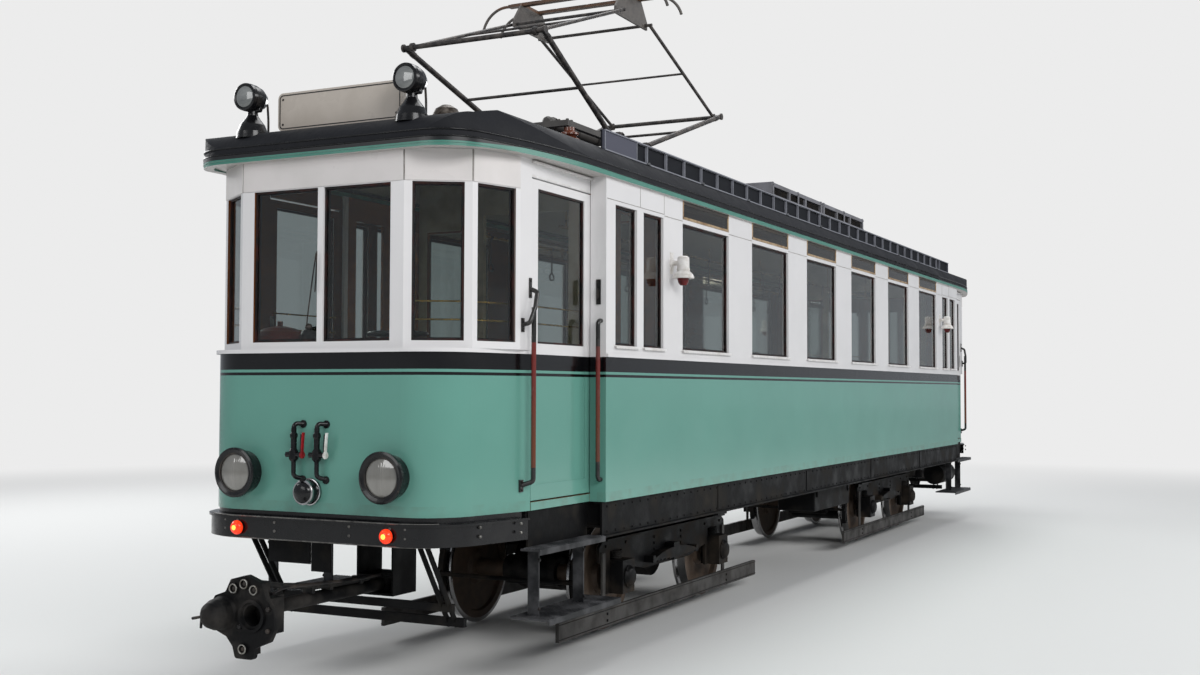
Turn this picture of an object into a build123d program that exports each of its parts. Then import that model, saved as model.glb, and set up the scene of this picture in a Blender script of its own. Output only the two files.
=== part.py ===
from build123d import *
import os
from math import atan2, cos, degrees, hypot, radians, sin

# Four-axle, double-ended metre-gauge motor tram. Millimetres, heights above rail top.
# The front is at -X and the side seen first is at -Y. The car stands on its wheel flanges,
# so every node is lifted by flange_height when it is written.

# Car body
gauge = 1000.0
flange_height = 25.0
half_length = 6580.0
half_width = 1100.0
saloon_half = 5150.0
wall = 60.0
floor_top = 1038.0
body_bottom = 990.0
waist = 1886.0
sill_height = 1960.0
pane_top = 2850.0
wall_top = 3010.0
cornice_depth = 30.0
roof_crown = 3360.0
roof_shell = 45.0
arch_half = 4880.0

# Saloon windows
window_pitch = 1400.0
window_width = 890.0
vent_bottom = 2880.0
vent_top = 2985.0
narrow_centres = (4859.0, 4437.0)
narrow_width = 320.0

# Platforms and sliding doors
post_x = 5890.0
post_y = 985.0
front_corner_y = 812.0
corner_radius = 310.0
door_thickness = 40.0
door_top = 2900.0
door_bottom = floor_top + 8.0
door_gap = 5.0
pocket_end = 4210.0
pocket_lining = 20.0
partition = 40.0

# Underframe
girder_bottom = 770.0
girder_y = 1075.0
bearer_y = 960.0
bearer_thickness = 12.0
bumper_bottom = 834.0
bumper_top = 957.0
bumper_proud = 35.0

# Bogies
bogie_centre = 3180.0
wheelbase = 1800.0
wheel_radius = 380.0
axle_radius = 60.0
journal_radius = 45.0
frame_y = 640.0
guard_y = 690.0

# Couplers
coupler_pivot_x = 5900.0
coupler_z = 520.0
coupler_reach = 7180.0
coupler_pin = 20.0

# Pantograph
panto_x = -3400.0
panto_base_z = 3560.0
panto_arm = 1412.0
panto_angle = 19.9
panto_pivot = 240.0
panto_foot_y = 400.0
panto_knee_y = 545.0
panto_base_half = 1100.0
panto_rail_y = 460.0
panto_head_rise = 190.0

for_both_sides = (-1, 1)


def block(x0, x1, y0, y1, z0, z1):
    """A box given by its limits along X, Y and Z."""
    middle = ((x0 + x1) / 2, (y0 + y1) / 2, (z0 + z1) / 2)
    return Pos(*middle) * Box(abs(x1 - x0), abs(y1 - y0), abs(z1 - z0))


def rod(start, end, radius):
    """A round bar between two points."""
    a = Vector(*start)
    b = Vector(*end)
    plane = Plane(origin=a, z_dir=b - a)
    return extrude(plane * Circle(radius), (b - a).length)


def side_profile(points, y0, y1):
    """A side-view outline of (x, z) points given thickness between two widths."""
    face = make_face(Polyline(points, close=True))
    return Pos(0, max(y0, y1), 0) * extrude(Plane.XZ * face, abs(y1 - y0))


def turned(points, place, direction):
    """A turned piece: (distance along its axis, radius) points spun about the axis at a place."""
    face = make_face(Polyline([(r, along) for along, r in points], close=True))
    return Plane(origin=place, z_dir=direction) * revolve(Plane.XZ * face, Axis.Z)


def bent(points, radius, bend):
    """A round pipe that follows points with bends of one radius."""
    path = FilletPolyline(*points, radius=bend)
    return sweep(Plane(origin=path @ 0, z_dir=path % 0) * Circle(radius), path=path)


def other_side(shape):
    """The same piece on the other side of the car."""
    return mirror(shape, Plane.XZ)


def other_end(shape):
    """The same piece at the other end of the car."""
    return mirror(shape, Plane.YZ)


def fuse(pieces):
    """Join pieces that touch into one shape."""
    first, *rest = pieces
    return first.fuse(*rest) if rest else first


def group(pieces):
    """Pieces of one node that do not touch each other."""
    solids = []
    for piece in pieces:
        solids.extend(piece.solids())
    return Compound(solids)


def slab(outline, z0, z1):
    """A plan outline given thickness between two heights."""
    return extrude(Pos(0, 0, z0) * outline, z1 - z0)


def end_outline(front, corner_y, radius, inset=0.0):
    """Plan of a platform: a flat front, two round corners and sides that taper forward."""
    x = front - inset
    points = [
        (-post_x, -post_y + inset),
        (-x, -corner_y + inset),
        (-x, corner_y - inset),
        (-post_x, post_y - inset),
    ]
    outline = make_face(Polyline(points, close=True))
    front_corners = outline.vertices().group_by(Axis.X)[0]
    return fillet(front_corners, radius - inset)


def roof_outline(grow=0.0):
    """Plan of the cornice: the saloon's straight sides run in gently to the rounded ends."""
    # Along the edge from the middle of a side to the middle of an end: x, y
    edge = [(0, 1125), (5300, 1125), (5900, 1080), (6400, 975), (6562, 872), (6620, 700), (6620, 0)]
    near = [(x + grow * (i > 2), y + grow * (i < 5)) for i, (x, y) in enumerate(edge)]
    outline = Line(near[0], near[1]) + ThreePointArc(near[1], near[2], near[3])
    outline += ThreePointArc(near[3], near[4], near[5]) + Line(near[5], near[6])
    quarter = make_face(outline + Line(near[6], (0, 0)) + Line((0, 0), near[0]))
    half = quarter + mirror(quarter, Plane.XZ)
    return half + mirror(half, Plane.YZ)


# Facets of a platform's window band: start and end in plan, width of the pane, its shift along
facets = (
    ((-6014.0, -985.0), (-6355.0, -880.0), 285.0, 0.0),
    ((-6355.0, -880.0), (-6562.0, -567.0), 285.0, 0.0),
    ((-6562.0, -567.0), (-6562.0, 0.0), 459.0, 34.0),
)
band_wall = 50.0


def band_outline(inset):
    """Faceted plan of the platform's window band."""
    near = [
        (-5890.0, -988.0 + inset),
        (-6014.0, -985.0 + inset),
        (-6355.0 + 0.5 * inset, -880.0 + 0.87 * inset),
        (-6562.0 + inset, -567.0 + 0.6 * inset),
    ]
    far = [(x, -y) for x, y in near[::-1]]
    return make_face(Polyline(near + far, close=True))


def facet_frame(start, end, shift):
    """Place on a facet: X along it, Z up, its centre moved along it by shift."""
    length = hypot(end[0] - start[0], end[1] - start[1])
    along = ((end[0] - start[0]) / length, (end[1] - start[1]) / length)
    x = (start[0] + end[0]) / 2 + along[0] * shift
    y = (start[1] + end[1]) / 2 + along[1] * shift
    return Pos(x, y, 0) * Rot(0, 0, degrees(atan2(along[1], along[0])))


def pane_places():
    """Frames and widths of a platform's six panes, and which way along Y is inward."""
    places = []
    for start, end, width, shift in facets:
        for side in for_both_sides:
            near_start = (start[0], start[1] * -side)
            near_end = (end[0], end[1] * -side)
            places.append((facet_frame(near_start, near_end, shift), width, side))
    return places


front_pane_top = 2821.0
front_pane_bottom = 1949.0


def make_end():
    """Front end shell: rounded apron, waist ledge, faceted window band and fascia."""
    apron_wall = 30.0
    ledge = 20.0
    inner_plan = end_outline(half_length, front_corner_y, corner_radius, apron_wall)
    apron = slab(end_outline(half_length, front_corner_y, corner_radius), body_bottom, waist)
    shelf = slab(end_outline(half_length + ledge, front_corner_y + ledge, corner_radius),
                 waist, waist + 22)
    band = slab(band_outline(0), waist + 22, wall_top)
    hollow = slab(band_outline(band_wall), waist - 1, wall_top + 1)
    shell = apron + shelf + band - slab(inner_plan, body_bottom - 1, waist) - hollow
    for place, width, _ in pane_places():
        height = front_pane_top - front_pane_bottom
        middle = (front_pane_top + front_pane_bottom) / 2
        shell -= place * Pos(0, 0, middle) * Box(width, 4 * band_wall, height)
    for side in for_both_sides:
        # Header over the sliding door, from the door post back to the saloon
        header = block(-post_x, -saloon_half - 0.5, side * 930, side * 988, door_top + 8, wall_top)
        shell += header
    # The platform is open between its door posts, behind the window band
    opening = block(-post_x - 1, -post_x + 20, -930, 930, 0, wall_top + 1)
    return (shell - opening).solid()


def make_side_wall():
    """Saloon side on the -Y side, with its windows and waist ledge."""
    outer = -half_width
    inner = outer + wall
    side = block(-saloon_half, saloon_half, outer, inner, body_bottom, wall_top)
    for centre in [window_pitch * (i - 2.5) for i in range(6)]:
        x0 = centre - window_width / 2
        x1 = centre + window_width / 2
        side -= block(x0, x1, outer - 5, inner + 5, sill_height, pane_top)
        side -= block(x0, x1, outer - 5, inner + 5, vent_bottom, vent_top)
    for end in for_both_sides:
        for centre in narrow_centres:
            x0 = end * centre - narrow_width / 2
            side -= block(x0, x0 + narrow_width, outer - 5, inner + 5, sill_height, pane_top)
    # Waist ledge that throws the rain clear
    side += block(-saloon_half, saloon_half, outer - 15, outer, waist, waist + 20)
    return side.solid()


def make_pocket():
    """Pocket of the front near door: jamb, inner panel with two windows, and the post that closes it."""
    outer = -half_width + wall
    inner = -post_y + door_thickness + 15
    jamb = block(-saloon_half, -saloon_half + 40, outer, -post_y - door_gap, body_bottom, wall_top)
    panel = block(-saloon_half + 2, -pocket_end, inner, inner + pocket_lining, floor_top, wall_top)
    for centre in narrow_centres:
        x0 = -centre - narrow_width / 2
        panel -= block(x0, x0 + narrow_width, inner - 5, inner + pocket_lining + 5, sill_height, pane_top)
    closing = block(-pocket_end - pocket_lining, -pocket_end, outer, inner - 0.5, floor_top, wall_top)
    return [jamb, panel, closing]


def make_door():
    """Sliding platform door on the -Y side at the front, closed."""
    front = -post_x + 4
    back = -saloon_half + 45
    outer = -post_y
    leaf = block(front, back, outer, outer + door_thickness, door_bottom, door_top)
    window = (front + 75, -saloon_half - 75)
    leaf -= block(window[0], window[1], outer - 5, outer + door_thickness + 5,
                  front_pane_bottom, pane_top)
    # Sunk panel of the lower half
    leaf -= block(front + 60, -saloon_half - 60, outer - 5, outer + 6, door_bottom + 90, waist - 60)
    return leaf.solid()


def roof_section(inset):
    """Cross-section of the roof: upright gutter, quick shoulder and flat arch."""
    edge_z = wall_top + cornice_depth
    y = 1118.0 - inset
    gutter_z = edge_z + 45.0 - 0.5 * inset
    bend = (y - 40, 3150.0 - inset)
    shoulder = (985.0 - inset, 3225.0 - inset)
    outline = Line((y, edge_z), (y, gutter_z))
    outline += ThreePointArc((y, gutter_z), bend, shoulder)
    outline += ThreePointArc(shoulder, (0, roof_crown - inset), (-shoulder[0], shoulder[1]))
    outline += ThreePointArc((-shoulder[0], shoulder[1]), (-bend[0], bend[1]), (-y, gutter_z))
    outline += Line((-y, gutter_z), (-y, edge_z))
    outline += Line((-y, edge_z), (y, edge_z))
    length = 2 * half_length + 400
    return extrude(Plane.YZ.offset(-length / 2) * make_face(outline), length)


def roof_profile(nose, brow, crown_x, inset):
    """Side view of the roof: each end rises steeply, then runs up gently to the crown."""
    edge_z = wall_top + cornice_depth
    gutter_z = edge_z + 45.0 - 0.5 * inset
    crown = roof_crown + 5 - inset
    round_mid = ((nose + brow[0]) / 2 + 22, (gutter_z + brow[1]) / 2 + 20)
    rise_mid = ((brow[0] + crown_x) / 2, (brow[1] + crown) / 2 + 42)
    outline = Line((-nose, edge_z), (-nose, gutter_z))
    outline += ThreePointArc((-nose, gutter_z), (-round_mid[0], round_mid[1]), (-brow[0], brow[1]))
    outline += ThreePointArc((-brow[0], brow[1]), (-rise_mid[0], rise_mid[1]), (-crown_x, crown))
    outline += Line((-crown_x, crown), (crown_x, crown))
    outline += ThreePointArc((crown_x, crown), rise_mid, brow)
    outline += ThreePointArc(brow, round_mid, (nose, gutter_z))
    outline += Line((nose, gutter_z), (nose, edge_z))
    outline += Line((nose, edge_z), (-nose, edge_z))
    span = 2 * half_width + 400
    return extrude(Plane.XZ.offset(-span / 2) * make_face(outline), span)


def roof_form(inset):
    """The roof's outer form, or its inner hollow when inset is given."""
    edge_z = wall_top + cornice_depth
    brow = (6460.0 - inset, 3185.0 - inset)
    side_view = roof_profile(6612.0 - inset, brow, 4900.0, inset)
    plan = slab(roof_outline(-8.0 - inset), edge_z, roof_crown + 50)
    return roof_section(inset) & side_view & plan


def roof_hollow():
    """Space under the roof: arched over the saloon, with a flat ceiling over the platforms."""
    edge_z = wall_top + cornice_depth
    arch = roof_section(roof_shell) & block(-arch_half, arch_half, -half_width, half_width, 0, roof_crown)
    ceiling = slab(roof_outline(-roof_shell - 20), edge_z - 1, edge_z + 60)
    return arch + ceiling


def make_roof(roof_solid, hollow):
    """Canvas-covered plywood roof: a shell over the saloon, thicker over the platforms."""
    return (roof_solid - hollow).solid()


def make_cornice():
    """Cornice moulding: a flat ring that closes the top of the walls and carries the roof."""
    outer = slab(roof_outline(), wall_top, wall_top + cornice_depth)
    inner = slab(roof_outline(-200.0), wall_top - 1, wall_top + cornice_depth + 1)
    return (outer - inner).solid()


def make_floor():
    """Floor of the saloon and both platforms."""
    saloon = block(-saloon_half, saloon_half, -half_width + wall, half_width - wall, body_bottom, floor_top)
    cut = []
    for end in for_both_sides:
        for side in for_both_sides:
            cut.append(block(end * (saloon_half + 1), end * (saloon_half - 40), side * (post_y + door_gap),
                             side * half_width, body_bottom - 1, floor_top + 1))
    platform = slab(end_outline(half_length, front_corner_y, corner_radius, 30.0), body_bottom, floor_top)
    landing = block(-post_x, -saloon_half, -post_y, post_y, body_bottom, floor_top)
    front = platform + landing
    floor = saloon + front + other_end(front)
    for piece in cut:
        floor -= piece
    return floor.solid()


def make_underframe():
    """Riveted steel underframe: girders, cross members, bolsters, draw gear supports, air tank."""
    web = 14.0
    flange = 60.0
    depth = 160.0
    member_bottom = body_bottom - depth
    inner_y = girder_y - web
    pieces = []
    for side in for_both_sides:
        y = side * girder_y
        pieces.append(block(-saloon_half, saloon_half, y, side * inner_y, girder_bottom, body_bottom))
        pieces.append(block(-saloon_half, saloon_half, y + side * 22, y - side * flange,
                            girder_bottom, girder_bottom + 12))
        pieces.append(block(-saloon_half, saloon_half, y, y - side * flange, body_bottom - 12, body_bottom))
        for end in for_both_sides:
            # Jacking pad beside the bolster
            x = end * bogie_centre
            pieces.append(block(x - 90, x + 90, y + side * 22, y - side * flange,
                                girder_bottom - 15, girder_bottom))
    for x in (-saloon_half + 40, -4300, -2100, -700, 700, 2100, 4300, saloon_half - 40):
        pieces.append(block(x - 6, x + 6, -inner_y, inner_y, member_bottom, body_bottom))
        pieces.append(block(x - 40, x + 40, -inner_y, inner_y, member_bottom, member_bottom + 10))
    for end in for_both_sides:
        x = end * bogie_centre
        pieces.append(block(x - 150, x + 150, -inner_y, inner_y, 850, body_bottom))
        pieces.append(Pos(x, 0, 763) * Cylinder(150, 174))
    under_platform = slab(end_outline(half_length, front_corner_y, corner_radius, 20.0), 0, body_bottom)
    under_platform += block(-post_x, 0, -post_y, post_y, 0, body_bottom)
    ends = [Pos(-coupler_pivot_x, 0, coupler_z) * Cylinder(coupler_pin, 120)]
    for y in (-300, 300):
        ends.append(block(-half_length, -saloon_half, y - 6, y + 6, body_bottom - 120, body_bottom))
    for x in (-post_x, -6400.0):
        ends.append(block(x, x - 12, -half_width, half_width, member_bottom, body_bottom))
    # Plates that hang from the headstock beside the draw gear: y0, y1, lower edge
    for y0, y1, z in ((170.0, 473.0, 677.0), (26.0, 160.0, 637.0)):
        ends.append(block(-6400.0, -6412.0, y0, y1, z, member_bottom + 5))
    for side in for_both_sides:
        y = side * bearer_y
        ends.append(block(-saloon_half, -post_x, y, y + side * bearer_thickness, girder_bottom, body_bottom))
        # Hanger of the draw gear
        ends.append(block(-6020, -5780, side * 120, side * 132, coupler_z - 60, body_bottom))
    for z in (coupler_z - 60, coupler_z + 45):
        ends.append(block(-6020, -5780, -132, 132, z, z + 15))
    front = fuse(ends) & under_platform
    tank = Pos(5700, -740, 571) * Rot(0, 90, 0) * Cylinder(130, 700)
    for x in (5480, post_x - 4):
        tank += block(x, x + 20, -770, -710, 571, body_bottom)
    return fuse(pieces + [front, other_end(front), tank])


def make_bumper():
    """Rounded bumper beam under the front apron: a pressed channel with a ledge, and a skirt."""
    back = slab(end_outline(half_length, front_corner_y, corner_radius, 20.0), 0, 2000)
    wrap = slab(end_outline(half_length, front_corner_y, corner_radius, -bumper_proud),
                bumper_bottom, bumper_top)
    inside = slab(end_outline(half_length, front_corner_y, corner_radius, -bumper_proud + 10),
                  bumper_bottom + 12, bumper_top - 12)
    ledge = slab(end_outline(half_length, front_corner_y, corner_radius, -bumper_proud - 12),
                 bumper_top - 12, bumper_top)
    skirt = slab(end_outline(half_length, front_corner_y, corner_radius, 6.0), bumper_top, body_bottom)
    behind_post = block(-post_x - 60, 0, -2000, 2000, 0, 2000)
    return (wrap + ledge + skirt - inside - back - behind_post).solid()


def make_steps():
    """Two steps under a door with their hangers, on the -Y side at the front."""
    inner = -bearer_y - bearer_thickness
    upper = block(-5975, -saloon_half, -half_width, inner, girder_bottom, girder_bottom + 12)
    upper += block(-5975, -saloon_half, -half_width, -half_width + 10, girder_bottom - 20, girder_bottom)
    low_z = 379.0
    lower = block(-5880, -4950, -half_width - 10, -850, low_z - 14, low_z)
    lower += block(-5880, -4950, -half_width - 10, -half_width, low_z - 34, low_z - 14)
    for x in (-5800, -5240):
        lower += block(x, x + 12, inner - 20, inner + 52, low_z, girder_bottom)
    return (upper + lower).solid()


def make_wheelset(x):
    """Axle with two flanged wheels, turned about its own axis."""
    tread = wheel_radius
    # distance outwards from the gauge face, radius
    rim = (
        (-35.0, tread - 55),
        (-35.0, tread + flange_height - 8),
        (-27.0, tread + flange_height),
        (-12.0, tread + flange_height - 6),
        (0.0, tread + 2),
        (65.0, tread - 4),
        (65.0, tread - 55),
        (30.0, tread - 62),
        (22.0, 130.0),
        (55.0, 110.0),
        (55.0, 55.0),
        (-35.0, 55.0),
        (-35.0, 110.0),
        (-8.0, 130.0),
        (-12.0, tread - 62),
    )
    face_y = gauge / 2
    outline = make_face(Polyline([(face_y + d, r) for d, r in rim], close=True))
    wheel = revolve(Plane.YZ * outline, Axis.Y)
    axle = Rot(90, 0, 0) * Cylinder(axle_radius, 2 * (face_y + 56))
    journal = Rot(90, 0, 0) * Cylinder(journal_radius, 2 * 700)
    return Pos(x, 0, wheel_radius) * fuse([axle, journal, wheel, other_side(wheel)]).solid()


def make_bogie_frame():
    """Bogie at the origin: plate side frames outside the wheels, transoms, bolster and springs."""
    top = 640.0
    low = 440.0
    box_low = wheel_radius - 110
    half_base = wheelbase / 2
    # Lower edge of the side frame from its middle to one end with the horn gap, then its top
    edge = (
        (420, low - 60), (half_base - 150, low), (half_base - 150, box_low), (half_base - 95, box_low),
        (half_base - 95, 560), (half_base + 95, 560), (half_base + 95, box_low),
        (half_base + 150, box_low), (half_base + 150, low), (half_base + 260, low + 60),
        (half_base + 260, top - 40), (half_base + 200, top),
    )
    outline = list(edge) + [(-x, z) for x, z in edge[::-1]]
    pieces = []
    for side in for_both_sides:
        y = side * frame_y
        pieces.append(side_profile(outline, y - 10, y + 10))
        pieces.append(block(-half_base - 200, half_base + 200, y - 45, y + 35, top, top + 12))
        for x in (-half_base, half_base):
            pieces.append(block(x - 95, x + 95, y - side * 50, y + side * 110, box_low, 500))
            pieces.append(turned(((0, 0), (0, 42), (60, 42), (60, 0)), (x, y, 500), (0, 0, 1)))
        pieces += leaf_spring(y + side * 10, y + side * 85)
    inner_y = frame_y - 10
    pieces.append(block(-260, -236, -inner_y, inner_y, 470, top - 5))
    pieces.append(block(236, 260, -inner_y, inner_y, 470, top - 5))
    pieces.append(block(-236, 236, -inner_y, inner_y, 560, top - 5))
    pieces.append(Pos(0, 0, 655) * Cylinder(170, 40))
    frame = fuse(pieces)
    for x in (-half_base, half_base):
        frame -= Pos(x, 0, wheel_radius) * Rot(90, 0, 0) * Cylinder(journal_radius + 0.05, 2 * 701)
    return frame.solid()


def leaf_spring(y0, y1):
    """Bolster spring outside a side frame: curved leaves that shorten downwards, and two shackles."""
    leaf = 13.0
    curve = 1500.0
    top_z = 500.0
    half_lengths = (430.0, 390.0, 340.0, 280.0, 210.0, 130.0)
    low = top_z - len(half_lengths) * leaf
    pieces = []
    for i, half in enumerate(half_lengths):
        outer = curve - i * leaf
        ring = Circle(outer) - Circle(outer - leaf)
        bent = Pos(0, max(y0, y1), top_z - curve) * extrude(Plane.XZ * ring, abs(y1 - y0))
        pieces.append(bent & block(-half, half, y0, y1, 0, top_z + 1))
    pieces.append(block(-50, 50, y0, y1, low - 20, top_z + 30))
    for end in for_both_sides:
        x = end * (half_lengths[0] - 25)
        pieces.append(block(x - 20, x + 20, y0, y1, 420, 470))
    return pieces


def make_guard_boards():
    """Boards that hang beside the bogie just above the rails, with their hangers."""
    half = 1812.0
    board = 25.0
    boards = []
    for side in for_both_sides:
        outer = side * guard_y
        inner = outer - side * board
        plate = side * (frame_y + 10)
        piece = block(-half, half, outer, inner, 65, 190)
        # Strap over the joint of the two lengths
        piece += block(-890, -730, inner, inner - side * 8, 90, 165)
        for x in (-1115, 1115):
            piece += block(x - 22, x + 22, inner, plate, 80, 560)
        boards.append(piece)
    return group(boards)


def make_motors():
    """Two motors hung from their axles, plain heavy casings with axle bearing and nose."""
    centre = 520.0
    nose_z = 505.0
    motors = []
    for end in for_both_sides:
        axle_x = end * wheelbase / 2
        casing = Pos(end * centre, 0, wheel_radius + 10) * Rot(90, 0, 0) * Cylinder(200, 560)
        bearing = Pos(axle_x, 0, wheel_radius) * Rot(90, 0, 0) * Cylinder(105, 420)
        link = block(end * centre, axle_x, -200, 200, wheel_radius - 90, wheel_radius + 90)
        nose = block(end * 260, end * 420, -120, 120, nose_z - 35, nose_z + 35)
        motor = casing + bearing + link + nose
        motor -= Pos(axle_x, 0, wheel_radius) * Rot(90, 0, 0) * Cylinder(axle_radius + 0.05, 700)
        motors.append(motor)
    return group(motors)


# Head plate of a coupler seen from the front: y, height over the coupler's axis
coupler_plate = (
    (-60.0, 205.0), (45.0, 178.0), (80.0, 112.0), (150.0, 88.0), (190.0, 25.0), (172.0, -80.0),
    (72.0, -118.0), (30.0, -165.0), (12.0, -225.0), (-104.0, -225.0), (-124.0, -162.0), (-210.0, -128.0),
    (-246.0, -60.0), (-236.0, 32.0), (-188.0, 92.0), (-158.0, 172.0),
)
# Air ports of the head plate: y, height over the coupler's axis
coupler_ports = ((18.0, 133.0), (-52.0, 160.0), (-116.0, 133.0), (-46.0, -172.0))


def make_coupler():
    """Automatic coupler: drawbar, cast head plate with its lugs, rounded horn, funnel and air ports."""
    face = -coupler_reach - 25
    horn_y = 95.0
    funnel_y = -100.0
    lug = 18.0
    eye = Pos(-coupler_pivot_x, 0, coupler_z) * Cylinder(70, 80)
    bar = rod((-coupler_pivot_x - 40, 0, coupler_z), (face + 250, 0, coupler_z), 38)
    outline = make_face(Polyline(coupler_plate, close=True))
    outline = fillet(outline.vertices(), lug)
    plate = Plane(origin=(face, 0, coupler_z), x_dir=(0, 1, 0), z_dir=(1, 0, 0)) * extrude(outline, 32)
    body = block(face + 32, face + 150, -182, 150, coupler_z - 98, coupler_z + 84)
    neck = block(face + 150, face + 260, -90, 90, coupler_z - 75, coupler_z + 75)
    # Brackets of the air ports behind the upper and the lower lug
    lugs = block(face + 32, face + 90, -140, 40, coupler_z + 84, coupler_z + 170)
    lugs += block(face + 32, face + 80, -90, -2, coupler_z - 205, coupler_z - 98)
    horn = ((0, 0), (0, 92), (16, 84), (60, 80), (100, 64), (128, 38), (140, 14), (140, 0))
    head = eye + bar + plate + body + neck + lugs
    head += turned(horn, (face, horn_y, coupler_z), (-1, 0, 0))
    head += turned(((-10, 64), (-10, 84), (14, 84), (14, 70)), (face, funnel_y, coupler_z), (-1, 0, 0))
    for y, z in coupler_ports:
        ring = ((-5, 14), (-5, 27), (14, 27), (14, 19))
        head += turned(ring, (face, y, coupler_z + z), (-1, 0, 0))
    head -= Pos(-coupler_reach, funnel_y, coupler_z) * Rot(0, 90, 0) * Cylinder(55, 140)
    head -= Pos(-coupler_pivot_x, 0, coupler_z) * Cylinder(coupler_pin + 0.05, 100)
    return head.solid()


def make_lifeguard():
    """Lifeguard in front of the wheels: two cross boards held by pairs of slanting straps."""
    guard = block(-6165, -6135, -640, 640, 425, 470) + block(-6105, -6075, -680, 680, 335, 385)
    strap = ((-6400, 930), (-6354, 930), (-6354, 800), (-6050, 330), (-6090, 330), (-6400, 810))
    for side in for_both_sides:
        for y in (560, 610):
            guard += side_profile(strap, side * y, side * (y + 10))
    return guard.solid()


def make_partition(under_roof):
    """Partition between the front platform and the saloon, with a doorway and two windows."""
    half = post_y - door_thickness - 15 - pocket_lining
    x0 = -pocket_end - partition
    panel = block(x0, -pocket_end, -half, half, floor_top, roof_crown) & under_roof
    panel -= block(x0 - 5, -pocket_end + 5, -350, 350, 0, 2950)
    for side in for_both_sides:
        panel -= block(x0 - 5, -pocket_end + 5, side * 430, side * 840, sill_height, pane_top)
    return panel.solid()


def make_bench(x, y0, y1, faces):
    """Wooden bench with a raked back on two cast supports; faces lists the ways it is sat on."""
    seat_z = floor_top + 430
    back_top = floor_top + 950
    back = ((-45, seat_z - 28), (45, seat_z - 28), (22, back_top), (-22, back_top))
    bench = side_profile(back, y0, y1)
    for way in faces:
        seat = ((way * 30, seat_z - 28), (way * 460, seat_z - 6),
                (way * 470, seat_z + 22), (way * 30, seat_z))
        bench += side_profile(seat, y0, y1)
        for y in (y0 + 60, y1 - 90):
            support = ((0, floor_top), (way * 300, floor_top), (way * 300, floor_top + 25),
                       (way * 60, floor_top + 60), (way * 60, floor_top + 280), (way * 400, seat_z - 10),
                       (0, seat_z - 20))
            bench += side_profile(support, y, y + 30)
    return (Pos(x, 0, 0) * bench).solid()


def make_seats():
    """Saloon benches: back to back at the window posts, single ones against the partitions."""
    wide = (-1030.0, -150.0)
    narrow = (570.0, 1030.0)
    benches = []
    for y0, y1 in (wide, narrow):
        for i in (-2, -1, 0, 1, 2):
            benches.append(make_bench(i * window_pitch, y0, y1, (-1, 1)))
        for end in for_both_sides:
            benches.append(make_bench(end * (pocket_end - 50), y0, y1, (-end,)))
    return group(benches)


def case_outline(radius):
    """Plan of the controller: round towards the driver, square towards the front."""
    return Circle(radius) + Pos(-0.4 * radius, 0) * Rectangle(0.8 * radius, 2 * radius)


def make_driver_stand():
    """Driver's stand: domed controller and brake valve at the left hand, brake wheel at the right."""
    stand_x = -6270.0
    left = 524.0
    valve_y = 300.0
    right = -330.0
    case_top = floor_top + 930
    case = Pos(stand_x, left, 0) * slab(case_outline(138), floor_top, case_top)
    # Cover, then the square spindle that takes the crank: distance up, radius
    cover = ((0, 0), (0, 150), (26, 150), (54, 132), (76, 92), (88, 40), (90, 16), (118, 16), (118, 0))
    case += turned(cover, (stand_x, left, case_top), (0, 0, 1))
    case += Pos(stand_x, left, floor_top + 30) * Box(320, 300, 60)
    valve_body = (
        (0, 0), (0, 70), (18, 70), (50, 26), (900, 22),
        (915, 52), (965, 60), (990, 44), (1004, 18), (1012, 0),
    )
    valve = turned(valve_body, (stand_x, valve_y, floor_top), (0, 0, 1))
    valve += rod((stand_x, valve_y, 2036), (stand_x + 96, valve_y - 24, 2052), 11)
    valve += rod((stand_x + 90, valve_y - 23, 2044), (stand_x + 90, valve_y - 23, 2138), 12)
    rim_z = floor_top + 960
    column = ((0, 0), (0, 80), (20, 80), (60, 38), (930, 30), (935, 22), (985, 22), (985, 0))
    brake = turned(column, (stand_x, right, floor_top), (0, 0, 1))
    brake += Pos(stand_x, right, rim_z) * Torus(160, 13)
    for turn in (50, 170, 290):
        way = (cos(radians(turn)), sin(radians(turn)))
        brake += rod((stand_x + 5 * way[0], right + 5 * way[1], rim_z),
                     (stand_x + 158 * way[0], right + 158 * way[1], rim_z), 8)
    return group([case, valve, brake])


def make_window_vents():
    """Hopper lights over the saloon windows: varnished frames that lean in on their lower rail."""
    rail = 18.0
    lean = 25.0
    height = vent_top - vent_bottom - 8
    width = window_width - 6
    middle_y = -half_width + wall / 2
    vents = []
    for i in range(6):
        x = window_pitch * (i - 2.5)
        frame = Box(width, rail, height) - Box(width - 2 * rail, 2 * rail, height - 2 * rail)
        vent = Pos(x, middle_y, vent_bottom + 6) * Rot(-lean, 0, 0) * Pos(0, 0, height / 2) * frame
        vent += block(x - width / 2, x + width / 2, middle_y - 15, middle_y + 15,
                      vent_bottom, vent_bottom + 14)
        vents.append(vent & block(-saloon_half, saloon_half, -half_width, 0, vent_bottom, vent_top))
    return vents


def make_side_glass():
    """Panes of the saloon windows on the -Y side."""
    thickness = 6.0
    y = -half_width + wall / 2 - thickness / 2
    panes = []
    for i in range(6):
        x = window_pitch * (i - 2.5)
        panes.append(block(x - window_width / 2, x + window_width / 2, y, y + thickness,
                           sill_height, pane_top))
    for end in for_both_sides:
        for centre in narrow_centres:
            x = end * centre
            panes.append(block(x - narrow_width / 2, x + narrow_width / 2, y, y + thickness,
                               sill_height, pane_top))
    return group(panes)


def make_end_glass():
    """Panes of the front platform's windows."""
    height = front_pane_top - front_pane_bottom
    middle = (front_pane_top + front_pane_bottom) / 2
    panes = []
    for place, width, inward in pane_places():
        panes.append(place * Pos(0, inward * band_wall / 2, middle) * Box(width, 6, height))
    return group(panes)


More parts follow.
